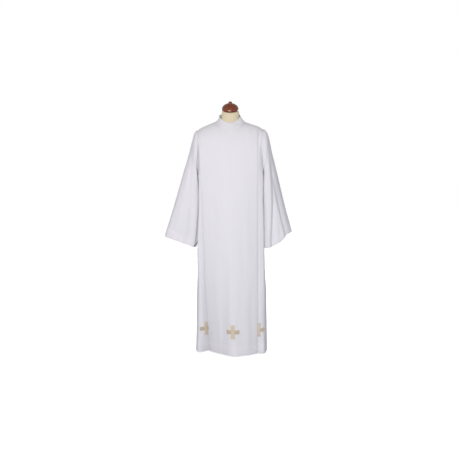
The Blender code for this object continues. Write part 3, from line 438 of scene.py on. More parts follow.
class Panel:
    """One half of the robe's body: every section, and where its top edge runs."""

    def __init__(self, right, left, ridge, troughs, fold_tops, facing, creases):
        self.right, self.left, self.ridge, self.troughs = right, left, ridge, troughs
        self.fold_tops, self.facing, self.creases = fold_tops, facing, creases
        folded = np.linspace(0.1, FOLD_END, FOLD_COLUMNS, endpoint=False)
        half = np.concatenate([[0.0, 0.025], folded])
        middle = np.linspace(FOLD_END, SPANS - FOLD_END, MIDDLE_COLUMNS)
        self.places = np.concatenate([half, middle, (SPANS - half)[::-1]])
        self.from_side = np.minimum(self.places, SPANS - self.places)
        self.levels = np.arange(HEM_Z, TOP_SECTION_Z + LEVEL_STEP, LEVEL_STEP)
        self.sections = np.array([self.section(z) for z in self.levels])

    def section(self, z):
        """Points of the cloth's middle at this height, x and distance from the side seams."""
        edges = []
        for rows, sign in ((self.right, -1), (self.left, 1)):
            (_, side, lobe_x, lobe_y, behind_x, behind_y,
             tuck_x, tuck_y, edge_x, edge_y, gap) = from_table(rows, z)
            run = ((side, 0.0), (side, LOBE_START * lobe_y), (lobe_x, lobe_y),
                   (behind_x, behind_y), (tuck_x, tuck_y), (tuck_x, tuck_y + HIDDEN_GAP * gap),
                   (edge_x, edge_y - EDGE_GAP * gap), (edge_x, edge_y))
            edges.append([(sign * x, y) for x, y in run])
        right, left = edges
        _, ridge_x, ridge_y = from_table(self.ridge, z)
        between = []
        for k in range(1, MIDDLE_POINTS + 1):
            v = 2.0 * k / (MIDDLE_POINTS + 1)
            edge, v = (right[-1], v) if v <= 1.0 else (left[-1], 2.0 - v)
            rise = ROUND_SHARE * math.sin(math.pi * v / 2) + (1 - ROUND_SHARE) * v
            between.append((edge[0] + (ridge_x - edge[0]) * v,
                            edge[1] + (ridge_y - edge[1]) * rise))
        run = spline(right + between + left[::-1], self.places)
        for hem_x, top_x, top_z, depth, half in self.troughs:
            share = np.clip((z - HEM_Z) / (top_z - HEM_Z), 0.0, 1.0)
            x = hem_x + (top_x - hem_x) * share
            run[:, 1] -= depth * (1 - smooth(share)) * np.exp(-((run[:, 0] - x) / half)**2)
        return run

    def at(self, heights):
        """Each column's own point at its own height."""
        step = (np.asarray(heights) - HEM_Z) / LEVEL_STEP
        i = np.clip(step.astype(int), 0, len(self.levels) - 2)
        t = (step - i)[:, None]
        columns = np.arange(len(self.places))
        return self.sections[i, columns] * (1 - t) + self.sections[i + 1, columns] * t

    def top(self):
        """Where each column ends, which way its wall faces there, and how far it rounds over."""
        chest = np.abs(self.at(np.full(len(self.places), CHEST_Z))[:, 0])
        neck = np.flatnonzero((self.from_side >= FOLD_END) & (chest < NECK_X + 4))
        first, last = neck[0], neck[-1]
        ends, round_over = [], np.full(len(self.places), NECK_ROUND)
        for i, from_side in enumerate(self.from_side):
            left = int(self.places[i] >= SPANS / 2)
            sign = 2.0 * left - 1.0
            if from_side <= ARM_END:
                ends.append(armhole_end(from_side / ARM_END, sign))
            elif first <= i <= last:
                angle = math.radians(-90 + 180 * (i - first) / (last - first))
                point, normal, up = neck_frame(angle, self.facing)
                mirror = (1, self.facing, 1)
                ends.append(((point - up * SEAM) * mirror, normal * mirror))
                round_over[i] -= NECK_ROUND_LESS * smooth(math.cos(angle) * 1.3)
            elif from_side < FOLD_END:
                share = (from_side - ARM_END) / (FOLD_END - ARM_END)
                ends.append(shoulder_end(sign * (ARM_X + (self.fold_tops[left] - ARM_X) * share)))
            else:
                fold_x, neck_x = self.fold_tops[left], chest[last if left else first]
                share = (fold_x - chest[i]) / (fold_x - neck_x)
                ends.append(shoulder_end(sign * (fold_x + (NECK_X - fold_x) * share)))
        points, normals = (np.array(column, float) for column in zip(*ends))
        return points, unit(normals), round_over

    def crease_rise(self, points):
        """How far the listed creases and the small swells move each point out."""
        rise = sum(ripple(points, wide, high, amount, seed + self.facing)
                   for wide, high, amount, seed in BODY_SWELLS)
        x, z = points[..., 0], points[..., 2]
        for region, x0, z0, x1, z1, bend, amount, half in self.creases:
            low, high = REGIONS[region]
            inside = (smooth((self.places - low) / REGION_FADE)
                      * smooth((high - self.places) / REGION_FADE))
            share = (z0 - z) / (z0 - z1)
            line = x0 + (x1 - x0) * share + bend * np.sin(math.pi * share)
            slant = math.cos(math.atan2(x1 - x0, z0 - z1))
            ends = smooth(share / CREASE_START) * smooth((1 - share) / CREASE_END)
            across = (x - line) * slant / half
            rise += amount * ends * inside * np.exp(-across**2)
        return rise * smooth((self.from_side - SIDE_CALM_FROM) / SIDE_CALM_RUN)

    def grid(self):
        """Middle of the cloth as rows from the hem to the top edge, and its normals."""
        ends, end_normals, round_over = self.top()
        drop = np.maximum(ARM_DROP * (ARM_Z + ARM_HIGH - ends[:, 2]), 0.0)
        lower = CHEST_Z - np.where(self.from_side <= ARM_END, drop, 0.0)
        low_rows = np.concatenate([HEM_ROWS, np.linspace(84.0, CHEST_Z - HEM_Z, LEVEL_ROWS)])
        rows = []
        for share in low_rows / (CHEST_Z - HEM_Z):
            level = CHEST_Z + (lower - CHEST_Z) * smooth((share - DROP_FROM) / DROP_RUN)
            z = HEM_Z + share * (level - HEM_Z)
            rows.append(np.column_stack([self.at(z), z]))
        last = self.at(np.minimum(ends[:, 2], TOP_SECTION_Z))
        full = np.radians(round_over)
        for share in np.concatenate([np.linspace(0.03, 0.97, TOP_ROWS), [0.988, 1.0]]):
            rise = np.sin(full * share) / np.sin(full)
            pull = (1 - np.cos(full * share)) / (1 - np.cos(full))
            z = lower + (ends[:, 2] - lower) * rise
            flat = self.at(np.minimum(z, TOP_SECTION_Z)) + (ends[:, :2] - last) * pull[:, None]
            rows.append(np.column_stack([flat, z]))
        grid = relaxed(np.array(rows), len(low_rows))
        grid[:, :, 1] = self.facing * (grid[:, :, 1] + SEAM)
        return self.finished(grid, end_normals * (1, self.facing, 1))

    def finished(self, grid, end_normals=None):
        """The grid with its creases pressed in, and its normals."""
        normals = grid_normals(grid, -self.facing)
        normals[:, (0, -1), 1] = 0.0
        normals = unit(normals)
        rise = self.crease_rise(grid)
        if end_normals is not None:
            below_top = (grid[-1, :, 2] - grid[:, :, 2]) + np.abs(grid[-1, :, 1] - grid[:, :, 1])
            rise *= smooth(below_top / FADE)
            rise = np.where(grid[:, :, 2] > CHEST_Z, np.maximum(rise, -1.0), rise)
        grid = grid + normals * rise[:, :, None]
        normals = grid_normals(grid, -self.facing)
        normals[:, (0, -1), 1] = 0.0
        if end_normals is not None:
            normals[-1] = end_normals
            normals[-1, (0, -1)] = (0, 0, -1)
        return grid, unit(normals)

    def strip(self, heights):
        """The cloth at level heights below the chest: points and normals, a row for each."""
        rows = []
        for z in heights:
            level = np.full(len(self.places), float(z))
            rows.append(np.column_stack([self.at(level), level]))
        grid = np.array(rows)
        grid[:, :, 1] = self.facing * (grid[:, :, 1] + SEAM)
        return self.finished(grid)


def along_sleeve(share, start, end, begin, finish, depth):
    """Where a fold or step lies, in degrees round, and its strength this far down the sleeve."""
    return (start + (end - start) * share,
            depth * smooth((share - begin) / (FOLD_GROWTH * (finish - begin))))


def sleeve_grid(side, shares):
    """Rings of a sleeve from the armhole to the cuff, and their normals."""
    rows, folds, steps, drop, sign, lean = SLEEVES[side]
    turns = np.linspace(0, 2 * math.pi, RING_COUNT, endpoint=False)
    degrees = np.degrees(turns)
    c, s = np.cos(turns), np.sin(turns)
    grid = []
    for share in shares:
        _, outer_x, outer_z, inner_x, inner_z, deep, middle_y = from_table(rows, share)
        x = (outer_x + inner_x) / 2 + (outer_x - inner_x) / 2 * c + SEAM
        z = (outer_z + inner_z) / 2 + (outer_z - inner_z) / 2 * c
        low = smooth((share - CUFF_DROP_FROM) / (1 - CUFF_DROP_FROM))
        z = z - low * np.interp(degrees, *np.array(drop).T)
        flat = 1 - SLEEVE_FLAT * smooth(share / FLAT_BY)
        y = middle_y - deep * np.sign(s) * np.abs(s)**flat
        hang = np.clip((c + LEAN_START) / (1 + LEAN_START), 0, None)**LEAN_POWER
        y = y + lean * deep * smooth(share / LEAN_BY) * hang
        for *run, wide in steps:
            place, strength = along_sleeve(share, *run)
            across = wide * (STEP_WIDE - STEP_NARROWING * share)
            y = y + strength * np.where(degrees < 180, smooth((place - degrees) / across + 0.5),
                                        smooth((degrees - STEP_BACK_START) / STEP_BACK_RUN))
        grid.append(np.column_stack([sign * x, y, z]))
    grid = np.array(grid)
    normals = grid_normals(grid, sign, ring=True)
    large, small = SLEEVE_SWELLS
    rise = ripple(grid, *large[:3], large[3] + sign) + ripple(grid, *small)
    for j, share in enumerate(shares):
        for *run, half in folds:
            place, strength = along_sleeve(share, *run)
            rise[j] -= strength * np.exp(-((degrees - place) / half)**2)
        rise[j] *= smooth(share / SEAM_CALM)
    grid = grid + normals * rise[:, :, None]
    normals = grid_normals(grid, sign, ring=True)
    normals[0] = np.column_stack([np.zeros(RING_COUNT), -s * ARM_HIGH, c * ARM_DEEP])
    return grid, unit(normals)


# ---------------------------------------------------------------- meshes

def new_object(name, mesh):
    obj = bpy.data.objects.new(name, mesh)
    bpy.context.scene.collection.objects.link(obj)
    return obj


def arc_lengths(grid, ring):
    """Distances along the rows and up the columns of a grid, in metres.

    Along a row they count from its middle, or from its start on a ring.
    """
    across = np.linalg.norm(np.diff(grid, axis=1), axis=2)
    across = np.concatenate([np.zeros((len(grid), 1)), np.cumsum(across, axis=1)], axis=1)
    if not ring:
        across -= across[:, across.shape[1] // 2][:, None]
    along = np.linalg.norm(np.diff(grid, axis=0), axis=2)
    along = np.concatenate([np.zeros((1, grid.shape[1])), np.cumsum(along, axis=0)])
    return across * MM, along * MM


def cloth_mesh(name, grid, normals, outer, inner, material, ring=False, doubled=None):
    """A cloth wall from a grid: moved out by outer and in by inner, closed round its rims.

    Its UV map runs in metres along the cloth; the attribute "doubled" marks turned-up hems.
    """
    walls = (grid + normals * outer[:, :, None], grid - normals * inner[:, :, None])
    points = np.concatenate([wall.reshape(-1, 3) for wall in walls]) * MM
    index = np.arange(grid.shape[0] * grid.shape[1]).reshape(grid.shape[:2])
    size = index.size
    if ring:
        index = np.hstack([index, index[:, :1]])
    a, b, c, d = (part.ravel() for part in (index[:-1, :-1], index[:-1, 1:], index[1:, 1:],
                                            index[1:, :-1]))
    faces = [np.column_stack([a, b, c, d]), np.column_stack([a, d, c, b]) + size]
    rims = [(index[0, 1:], index[0, :-1]), (index[-1, :-1], index[-1, 1:])]
    if not ring:
        rims += [(index[:-1, 0], index[1:, 0]), (index[1:, -1], index[:-1, -1])]
    faces = np.concatenate(faces + [np.column_stack([a, b, b + size, a + size])
                                    for a, b in rims])
    a, b, c, d = (points[faces[:, k]] for k in range(4))
    if np.einsum("ij,ij->i", a, np.cross(b - a, c - a) + np.cross(c - a, d - a)).sum() < 0:
        faces = faces[:, ::-1]
    mesh = bpy.data.meshes.new(name)
    mesh.from_pydata(points.tolist(), [], faces.tolist())
    across, along = arc_lengths(grid, ring)
    corners = np.empty(len(mesh.loops), int)
    mesh.loops.foreach_get("vertex_index", corners)
    uv = np.column_stack([np.tile(run.ravel(), 2)[corners] for run in (across, along)])
    mesh.uv_layers.new(name="cloth").data.foreach_set("uv", uv.ravel())
    marks = mesh.attributes.new("doubled", "FLOAT", "POINT")
    values = np.zeros(grid.shape[:2]) if doubled is None else doubled
    marks.data.foreach_set("value", np.tile(values.ravel(), 2))
    mesh.shade_smooth()
    mesh.materials.append(material)
    mesh.validate()
    return new_object(name, mesh)


def polylines(name, runs):
    """A mesh of edges only: each run of points in millimetres is one open line."""
    points, edges = [], []
    for run in runs:
        start = len(points)
        points.extend(np.asarray(run, float) * MM)
        edges += [(k, k + 1) for k in range(start, len(points) - 1)]
    mesh = bpy.data.meshes.new(name)
    mesh.from_pydata([tuple(p) for p in points], edges, [])
    return new_object(name, mesh)


# ---------------------------------------------------------------- geometry node trees

def feed(tree, socket, value):
    """Sets an input to a value, or links it from a socket or from a node's first output."""
    if isinstance(value, bpy.types.Node):
        value = value.outputs[0]
    if isinstance(value, bpy.types.NodeSocket):
        tree.links.new(value, socket)
    elif socket.type == "RGBA" and len(value) == 3:
        socket.default_value = (*value, 1.0)
    else:
        socket.default_value = value


def add_node(tree, kind, *values, **settings):
    """A node, its inputs fed in order or by name; an underscore in a name stands for a space."""
    node = tree.nodes.new(kind)
    for key, value in settings.items():
        label = key.replace("_", " ")
        if label in node.inputs:
            feed(tree, node.inputs[label], value)
        else:
            setattr(node, key, value)
    for socket, value in zip(node.inputs, values):
        feed(tree, socket, value)
    return node


def geometry_tree(name, sizes):
    """A tree with a geometry in and out and named sizes, and the outputs of its input node."""
    tree = bpy.data.node_groups.new(name, "GeometryNodeTree")
    face = tree.interface
    face.new_socket("Geometry", in_out="INPUT", socket_type="NodeSocketGeometry")
    for label, kind, default in sizes:
        socket = face.new_socket(label, in_out="INPUT", socket_type=kind)
        socket.default_value = default
    face.new_socket("Material", in_out="INPUT", socket_type="NodeSocketMaterial")
    face.new_socket("Geometry", in_out="OUTPUT", socket_type="NodeSocketGeometry")
    return tree, tree.nodes.new("NodeGroupInput").outputs


def close_tree(tree, geometry, given):
    """Ends a tree in Realize Instances, smooth shading and Set Material."""
    real = add_node(tree, "GeometryNodeRealizeInstances", geometry)
    shade = add_node(tree, "GeometryNodeSetShadeSmooth", Geometry=real)
    finish = add_node(tree, "GeometryNodeSetMaterial", Geometry=shade, Material=given["Material"])
    add_node(tree, "NodeGroupOutput", finish)
    return tree


def stitch_tree():
    """Lines of running stitches: short capsules laid end to end along each line."""
    tree, given = geometry_tree("running_stitches", (
        ("Pitch", "NodeSocketFloat", 0.0032), ("Length", "NodeSocketFloat", 0.0026),
        ("Thickness", "NodeSocketFloat", 0.0006)))
    curve = add_node(tree, "GeometryNodeMeshToCurve", given["Geometry"])
    spaced = add_node(tree, "GeometryNodeResampleCurve", mode="LENGTH", Curve=curve,
                      Length=given["Pitch"])
    turn = add_node(tree, "FunctionNodeAlignRotationToVector", axis="X",
                    Vector=add_node(tree, "GeometryNodeInputTangent"))
    bead = add_node(tree, "GeometryNodeMeshUVSphere", Segments=6, Rings=5, Radius=0.5)
    size = add_node(tree, "ShaderNodeCombineXYZ", given["Length"], given["Thickness"],
                    given["Thickness"])
    place = add_node(tree, "GeometryNodeInstanceOnPoints", Points=spaced, Instance=bead,
                     Rotation=turn, Scale=size)
    return close_tree(tree, place, given)


def sweep_ring(tree, curve, sides, radius, **scale):
    """A ring of this many sides swept along a curve, its ends closed."""
    circle = add_node(tree, "GeometryNodeCurvePrimitiveCircle", Resolution=sides, Radius=radius)
    return add_node(tree, "GeometryNodeCurveToMesh", Curve=curve, Profile_Curve=circle,
                    Fill_Caps=True, **scale)


def thread_tree():
    """Thread of one thickness along every line."""
    tree, given = geometry_tree("laid_threads", (
        ("Radius", "NodeSocketFloat", 0.0004), ("Sides", "NodeSocketInt", 5)))
    curve = add_node(tree, "GeometryNodeMeshToCurve", given["Geometry"])
    return close_tree(tree, sweep_ring(tree, curve, given["Sides"], given["Radius"]), given)


def turning_tree():
    """A turned piece: a ring of each point's own radius, square to the axis line."""
    tree, given = geometry_tree("turned_piece", (("Sides", "NodeSocketInt", 96),))
    radius = add_node(tree, "GeometryNodeInputNamedAttribute", data_type="FLOAT",
                      Name="turn_radius")
    curve = add_node(tree, "GeometryNodeMeshToCurve", given["Geometry"])
    taper = add_node(tree, "GeometryNodeSetCurveRadius", Curve=curve, Radius=radius)
    return close_tree(tree, sweep_ring(tree, taper, given["Sides"], 1.0, Scale=radius), given)


def grown(source, tree, name, material, **sizes):
    """The source run through a tree with these sizes, as a plain mesh object; drops the source."""
    modifier = source.modifiers.new(tree.name, "NODES")
    modifier.node_group = tree
    sizes["Material"] = material
    for item in tree.interface.items_tree:
        if item.in_out == "INPUT" and item.name in sizes:
            modifier[item.identifier] = sizes[item.name]
    bpy.context.view_layer.update()
    graph = bpy.context.evaluated_depsgraph_get()
    mesh = bpy.data.meshes.new_from_object(source.evaluated_get(graph), depsgraph=graph)
    if not mesh.polygons:
        raise RuntimeError(f"{name}: the tree {tree.name} made no faces")
    mesh.name = name
    source.modifiers.remove(modifier)
    bpy.data.objects.remove(source, do_unlink=True)
    return new_object(name, mesh)


# ---------------------------------------------------------------- materials

SLUB_STRETCH, SLUB_TONE, TONE_SCALE = (900.0, 45.0, 1.0), 0.35, 0.74
KNIT_COLUMNS, KNIT_ROWS = 210.0, 5200.0  # loops round the form, and upwards in each metre
GRAIN_STRETCH, RING_STRETCH = (1.0, 1.0, 0.12), (0.02, 0.02, 1.0)
WHITE = (1.0, 1.0, 1.0)


def toned(colour, times):
    """A colour made darker, or lighter above 1."""
    return tuple(times * c for c in colour)


def shader_group(name, inputs, outputs):
    """A shader node group with inputs and named results, and the outputs of its input node."""
    tree = bpy.data.node_groups.new(name, "ShaderNodeTree")
    for label, kind, default in inputs:
        socket = tree.interface.new_socket(label, in_out="INPUT", socket_type=kind)
        if default is not None:
            socket.default_value = default
    for label in outputs:
        tree.interface.new_socket(label, in_out="OUTPUT", socket_type="NodeSocketFloat")
    return tree, tree.nodes.new("NodeGroupInput").outputs


def math_node(tree, operation, *values):
    """A Math node whose inputs are sockets or numbers; gives its output socket."""
    return add_node(tree, "ShaderNodeMath", *values, operation=operation).outputs[0]


def product(tree, a, b):
    return math_node(tree, "MULTIPLY", a, b)


def mixed(tree, share, a, b):
    """A colour between two, each a socket or a plain colour."""
    node = add_node(tree, "ShaderNodeMix", share, data_type="RGBA")
    feed(tree, node.inputs[6], a)
    feed(tree, node.inputs[7], b)
    return node.outputs[2]


def mottle(tree, vector, scale, detail, roughness=0.5, stretch=None, turn=(0.0, 0.0, 0.0)):
    """Uneven tone, from 0 to 1; the place can first be scaled along each axis, then turned."""
    if stretch:
        vector = add_node(tree, "ShaderNodeMapping", Vector=vector, Scale=stretch, Rotation=turn)
    return add_node(tree, "ShaderNodeTexNoise", Vector=vector, Scale=scale, Detail=detail,
                    Roughness=roughness).outputs[0]


def weave_group():
    """Plain weave: over and under threads, slubs, and a slow tone change across the cloth."""
    tree, given = shader_group(
        "plain_weave",
        (("Vector", "NodeSocketVector", None), ("Threads per Metre", "NodeSocketFloat", 2200.0),
         ("Slub", "NodeSocketFloat", 0.35)), ("Height", "Tone"))
    split = add_node(tree, "ShaderNodeSeparateXYZ", given["Vector"])
    turns = product(tree, given["Threads per Metre"], math.pi)
    warp, weft = (math_node(tree, "SINE", product(tree, split.outputs[k], turns)) for k in (0, 1))
    over = math_node(tree, "ABSOLUTE", product(tree, warp, weft))
    slub = mottle(tree, given["Vector"], 1.0, 3.0, 0.6, SLUB_STRETCH)
    slow = mottle(tree, given["Vector"], 9.0, 2.0)
    tone = math_node(tree, "MULTIPLY_ADD", slub, SLUB_TONE, slow)
    add_node(tree, "NodeGroupOutput", Tone=product(tree, tone, TONE_SCALE),
             Height=math_node(tree, "ADD", over, product(tree, slub, given["Slub"])))
    return tree


def twist_group():
    """Twisted thread: slanting plies and a slightly uneven dye."""
    tree, given = shader_group(
        "twisted_thread",
        (("Vector", "NodeSocketVector", None), ("Plies per Metre", "NodeSocketFloat", 900.0)),
        ("Height", "Dye"))
    x, y, z = add_node(tree, "ShaderNodeSeparateXYZ", given["Vector"]).outputs
    slant = math_node(tree, "ADD", x, math_node(tree, "ADD", y, z))
    turns = product(tree, given["Plies per Metre"], 2 * math.pi)
    ply = math_node(tree, "SINE", product(tree, slant, turns))
    add_node(tree, "NodeGroupOutput", Height=math_node(tree, "MULTIPLY_ADD", ply, 0.5, 0.5),
             Dye=mottle(tree, given["Vector"], 420.0, 2.0))
    return tree


def new_material(name, colour, roughness, metallic=0.0, **fixed):
    """A Principled material with its constant values set, and its tree and shader."""
    material = bpy.data.materials.new(name)
    material.use_nodes = True
    tree = material.node_tree
    shader = tree.nodes["Principled BSDF"]
    fixed.update(Base_Color=colour, Roughness=roughness, Metallic=metallic)
    for label, value in fixed.items():
        feed(tree, shader.inputs[label.replace("_", " ")], value)
    return material, tree, shader


def object_place(tree):
    return add_node(tree, "ShaderNodeTexCoord").outputs["Object"]


def set_surface(tree, shader, height, distance, strength, **inputs):
    """Feeds the shader's inputs and gives it a bump from this height."""
    inputs["Normal"] = add_node(tree, "ShaderNodeBump", Height=height, Strength=strength,
                                Distance=distance)
    for label, value in inputs.items():
        feed(tree, shader.inputs[label.replace("_", " ")], value)


def cloth_material(name, colour, hem_colour, weave):
    material, tree, shader = new_material(name, colour, 0.86, Sheen_Weight=0.12,
                                          Sheen_Roughness=0.45, Specular_IOR_Level=0.25)
    uv = add_node(tree, "ShaderNodeUVMap", uv_map="cloth")
    woven = add_node(tree, "ShaderNodeGroup", node_tree=weave, Vector=uv).outputs
    doubled = add_node(tree, "ShaderNodeAttribute", attribute_name="doubled")
    plain = mixed(tree, doubled.outputs["Fac"], colour, hem_colour)
    shade = mixed(tree, product(tree, woven["Tone"], 0.05), plain, toned(colour, 0.82))
    set_surface(tree, shader, woven["Height"], 0.00009, 0.35, Base_Color=shade)
    return material


def thread_material(name, colour, pale, twist):
    material, tree, shader = new_material(name, colour, 0.42, Sheen_Weight=0.2,
                                          Sheen_Roughness=0.4, Specular_IOR_Level=0.45)
    ply = add_node(tree, "ShaderNodeGroup", node_tree=twist, Vector=object_place(tree)).outputs
    set_surface(tree, shader, ply["Height"], 0.00008, 0.4,
           Base_Color=mixed(tree, ply["Dye"], colour, pale))
    return material


def jersey_material(name, colour):
    """Fine knitted cover: columns of small loops round the form."""
    material, tree, shader = new_material(name, colour, 0.8, Sheen_Weight=0.2,
                                          Specular_IOR_Level=0.25)
    place = object_place(tree)
    x, y, z = add_node(tree, "ShaderNodeSeparateXYZ", place).outputs
    across = math_node(tree, "ARCTAN2", x, y)
    column = math_node(tree, "SINE", product(tree, across, KNIT_COLUMNS))
    loop = math_node(tree, "SINE", product(tree, z, KNIT_ROWS))
    height = product(tree, column, math_node(tree, "MULTIPLY_ADD", loop, 0.3, 0.7))
    shade = mixed(tree, mottle(tree, place, 38.0, 3.0), colour, toned(colour, 0.86))
    set_surface(tree, shader, height, 0.00012, 0.35, Base_Color=shade)
    return material


def wood_material(name, dark, light):
    """Stained and varnished wood with long grain along the turning's axis."""
    material, tree, shader = new_material(name, dark, 0.26, Coat_Weight=0.35,
                                          Coat_Roughness=0.12)
    grain = mottle(tree, object_place(tree), 260.0, 5.0, 0.62, GRAIN_STRETCH,
                   (math.radians(CAP_TILT), 0.0, 0.0))
    ramp = add_node(tree, "ShaderNodeValToRGB", grain)
    for stop, place, colour in zip(ramp.color_ramp.elements, (0.38, 0.66), (dark, light)):
        stop.position, stop.color = place, (*colour, 1.0)
    rough = math_node(tree, "MULTIPLY_ADD", grain, 0.2, 0.16)
    set_surface(tree, shader, grain, 0.0001, 0.25, Base_Color=ramp, Roughness=rough)
    return material


def steel_material(name, colour):
    """Turned steel: fine rings left by the tool, with faint smears."""
    material, tree, shader = new_material(name, colour, 0.32, 1.0)
    place = object_place(tree)
    rings = mottle(tree, place, 2400.0, 2.0, stretch=RING_STRETCH)
    rough = math_node(tree, "MULTIPLY_ADD", mottle(tree, place, 22.0, 3.0), 0.22, 0.2)
    set_surface(tree, shader, rings, 0.00004, 0.3, Roughness=rough)
    return material


def by_camera(tree, others, camera):
    """A shader that is one thing to the camera and another to every other ray."""
    path = add_node(tree, "ShaderNodeLightPath")
    return add_node(tree, "ShaderNodeMixShader", path.outputs["Is Camera Ray"], others, camera)


def floor_material(name, colour, glow, bounce):
    """A pale floor that glows a little where it is seen, and throws back only cool light."""
    material, tree, shader = new_material(name, colour, 0.9, Emission_Strength=glow,
                                          Emission_Color=WHITE)
    back = add_node(tree, "ShaderNodeBsdfDiffuse", bounce)
    feed(tree, tree.nodes["Material Output"].inputs[0], by_camera(tree, back, shader))
    return material


# ---------------------------------------------------------------- settings

def number(name, description, default, **limits):
    return bpy.props.FloatProperty(name=name, description=description, default=default,
                                   min=0.0, **limits)


def length(name, description, default):
    return number(name, description, default, subtype="DISTANCE", unit="LENGTH", precision=5)


def paint(name, description, default):
    return bpy.props.FloatVectorProperty(name=name, description=description, default=default,
                                         size=3, min=0.0, max=1.0, subtype="COLOR")


class AlbClothSettings(bpy.types.PropertyGroup):
    wall: length("Cloth Thickness", "Thickness of the robe's cloth", 0.0012)
    hem_extra: length("Hem Thickness", "Extra cloth turned up inside the hems", 0.001)
    hem_high: length("Hem Height", "Height of the bottom hem's stitch line", 0.062)
    cuff_high: length("Cuff Hem Height", "Height of the sleeve hem's stitch line", 0.048)
    colour: paint("Cloth Colour", "Colour of the white cloth", (0.78, 0.775, 0.815))
    hem_colour: paint("Hem Colour", "Colour of the cloth where it lies double", (0.80, 0.79, 0.83))


class AlbStitchSettings(bpy.types.PropertyGroup):
    pitch: length("Stitch Pitch", "Distance from one stitch to the next", 0.0031)
    length: length("Stitch Length", "Length of the thread that shows", 0.0024)
    thickness: length("Thread Thickness", "Thickness of the sewing thread", 0.0005)
    colour: paint("Thread Colour", "Colour of the sewing thread", (0.70, 0.69, 0.74))


class AlbCrossSettings(bpy.types.PropertyGroup):
    pitch: length("Thread Pitch", "Distance between the threads laid side by side", 0.00062)
    radius: length("Thread Radius", "Radius of the embroidery thread", 0.00036)
    pad: length("Padding", "How far the embroidery swells above the cloth", 0.0012)
    edge_radius: length("Edge Cord Radius", "Radius of the cord round each cross", 0.0006)
    # The two golds are one thread in two tones. The darker is painted shade and the lighter a
    # painted sheen, standing in for the satin's sheen, which changes with the way its threads are
    # laid. The side arms and the edge cord take the darker gold, the upright and the middle the
    # lighter.
    deep: paint("Gold In Painted Shade", "Thread of the side arms and the edge", (0.555, 0.485, 0.375))
    pale: paint("Gold In Painted Sheen", "Thread of the upright arms and the middle", (0.665, 0.58, 0.455))


class AlbFormSettings(bpy.types.PropertyGroup):
    sides: bpy.props.IntProperty(name="Turning Sides", description="Sides of the turned pieces",
                                 default=96, min=24, max=256)
    jersey: paint("Cover Colour", "Knitted cover of the form", (0.80, 0.71, 0.50))
    wood_dark: paint("Wood Shade", "Darker grain of the neck cap", (0.115, 0.017, 0.006))
    wood_light: paint("Wood Light", "Lighter grain of the neck cap", (0.30, 0.07, 0.02))
    steel: paint("Steel", "Stand's metal", (0.55, 0.55, 0.56))


class AlbStageSettings(bpy.types.PropertyGroup):
    floor: paint("Floor", "Colour of the floor", (0.86, 0.86, 0.87))
    bounce: paint("Floor Bounce", "Light that the floor throws back", (0.36, 0.37, 0.45))
    glow: number("Floor Glow", "Light added by the floor", 0.75, max=2.0)
    key: number("Main Light", "Strength of the large lamp in front", 66.0, unit="POWER")
    fill: number("Side Light", "Strength of the side and back lamps", 3.0, unit="POWER")
    sky: number("Room Light", "Strength of the even light", 0.75, max=4.0)


SETTINGS = (("alb_cloth", AlbClothSettings), ("alb_stitches", AlbStitchSettings),
            ("alb_crosses", AlbCrossSettings), ("alb_form", AlbFormSettings),
            ("alb_stage", AlbStageSettings))


# ---------------------------------------------------------------- robe pieces

MADE = {}  # materials, trees and panels shared by the operators


def shared(key, make):
    if key not in MADE:
        MADE[key] = make()
    return MADE[key]


def robe_material():
    sizes = bpy.context.scene.alb_cloth
    return shared("cloth", lambda: cloth_material(
        "alb_cloth", tuple(sizes.colour), tuple(sizes.hem_colour), shared("weave", weave_group)))


def body_panel(side):
    return shared(side, lambda: Panel(*PANELS[side]))


HEM_PUFF, STITCH_DIP, DIP_REACH = 0.25, 0.4, 1.7  # mm
SEAM_ROLL = 0.35  # share of the cloth's thickness left where it rolls into a seam


def hem_thickness(above, hem_high, wall, extra):
    """Outer and inner thickness, by distance from the folded edge, and the doubled part."""
    half = wall / 2
    round_in = np.sqrt(np.clip(1 - (1 - above / (half + extra / 2))**2, 0.02, 1.0))
    round_in = np.where(above > half + extra / 2, 1.0, round_in)
    doubled = above < hem_high
    outer = -extra / 2 + (half + extra / 2) * round_in
    inner = extra / 2 + (half + extra / 2) * round_in
    puff = HEM_PUFF * smooth((hem_high + 1 - above) / 4) * smooth(above / 5)
    dip = STITCH_DIP * np.exp(-((above - hem_high) / DIP_REACH)**2)
    outer = np.where(doubled, outer, half) + puff - dip
    inner = np.where(doubled, inner, half)
    return outer, inner, smooth((hem_high + 1.5 - above) / 3)


def hemmed_cloth(name, grid, normals, above, hem_high, roll, ring=False):
    """A cloth with a turned-up hem; roll is the share of its thickness left near its seams."""
    sizes = bpy.context.scene.alb_cloth
    outer, inner, doubled = hem_thickness(above, hem_high / MM, sizes.wall / MM,
                                          sizes.hem_extra / MM)
    return cloth_mesh(name, grid, normals, outer * roll, inner * roll, robe_material(), ring,
                      doubled)


def make_body_panel(side):
    grid, normals = body_panel(side).grid()
    above = arc_lengths(grid, False)[1] / MM
    roll = np.ones(grid.shape[:2])
    roll[-1] = roll[:, 0] = roll[:, -1] = SEAM_ROLL
    return hemmed_cloth(f"{side}_cloth", grid, normals, above,
                        bpy.context.scene.alb_cloth.hem_high, roll)


SLEEVE_LONG = 640.0  # mm from armhole to cuff along the middle of the sleeve
ARMHOLE_ROWS, SLEEVE_ROWS = (0.0, 0.002, 0.006, 0.012), 104
CUFF_ROWS = (0.0, 0.35, 1.1, 2.4, 6.0, 13.0, 20.0, 28.0, 36.0, 42.0, 45.0, 46.8, 48.0, 49.2, 51.0,
             54.0, 60.0)


def make_sleeve(side):
    low = 1 - np.array(CUFF_ROWS[::-1]) / SLEEVE_LONG
    shares = np.concatenate([ARMHOLE_ROWS, np.linspace(0.02, low[0] - 0.008, SLEEVE_ROWS), low])
    grid, normals = sleeve_grid(side, shares)
    above = (1 - shares)[:, None] * SLEEVE_LONG * np.ones((1, grid.shape[1]))
    roll = np.ones(grid.shape[:2])
    roll[0] = SEAM_ROLL
    return hemmed_cloth(f"sleeve_{side}_cloth", grid, normals, above,
                        bpy.context.scene.alb_cloth.cuff_high, roll, ring=True)


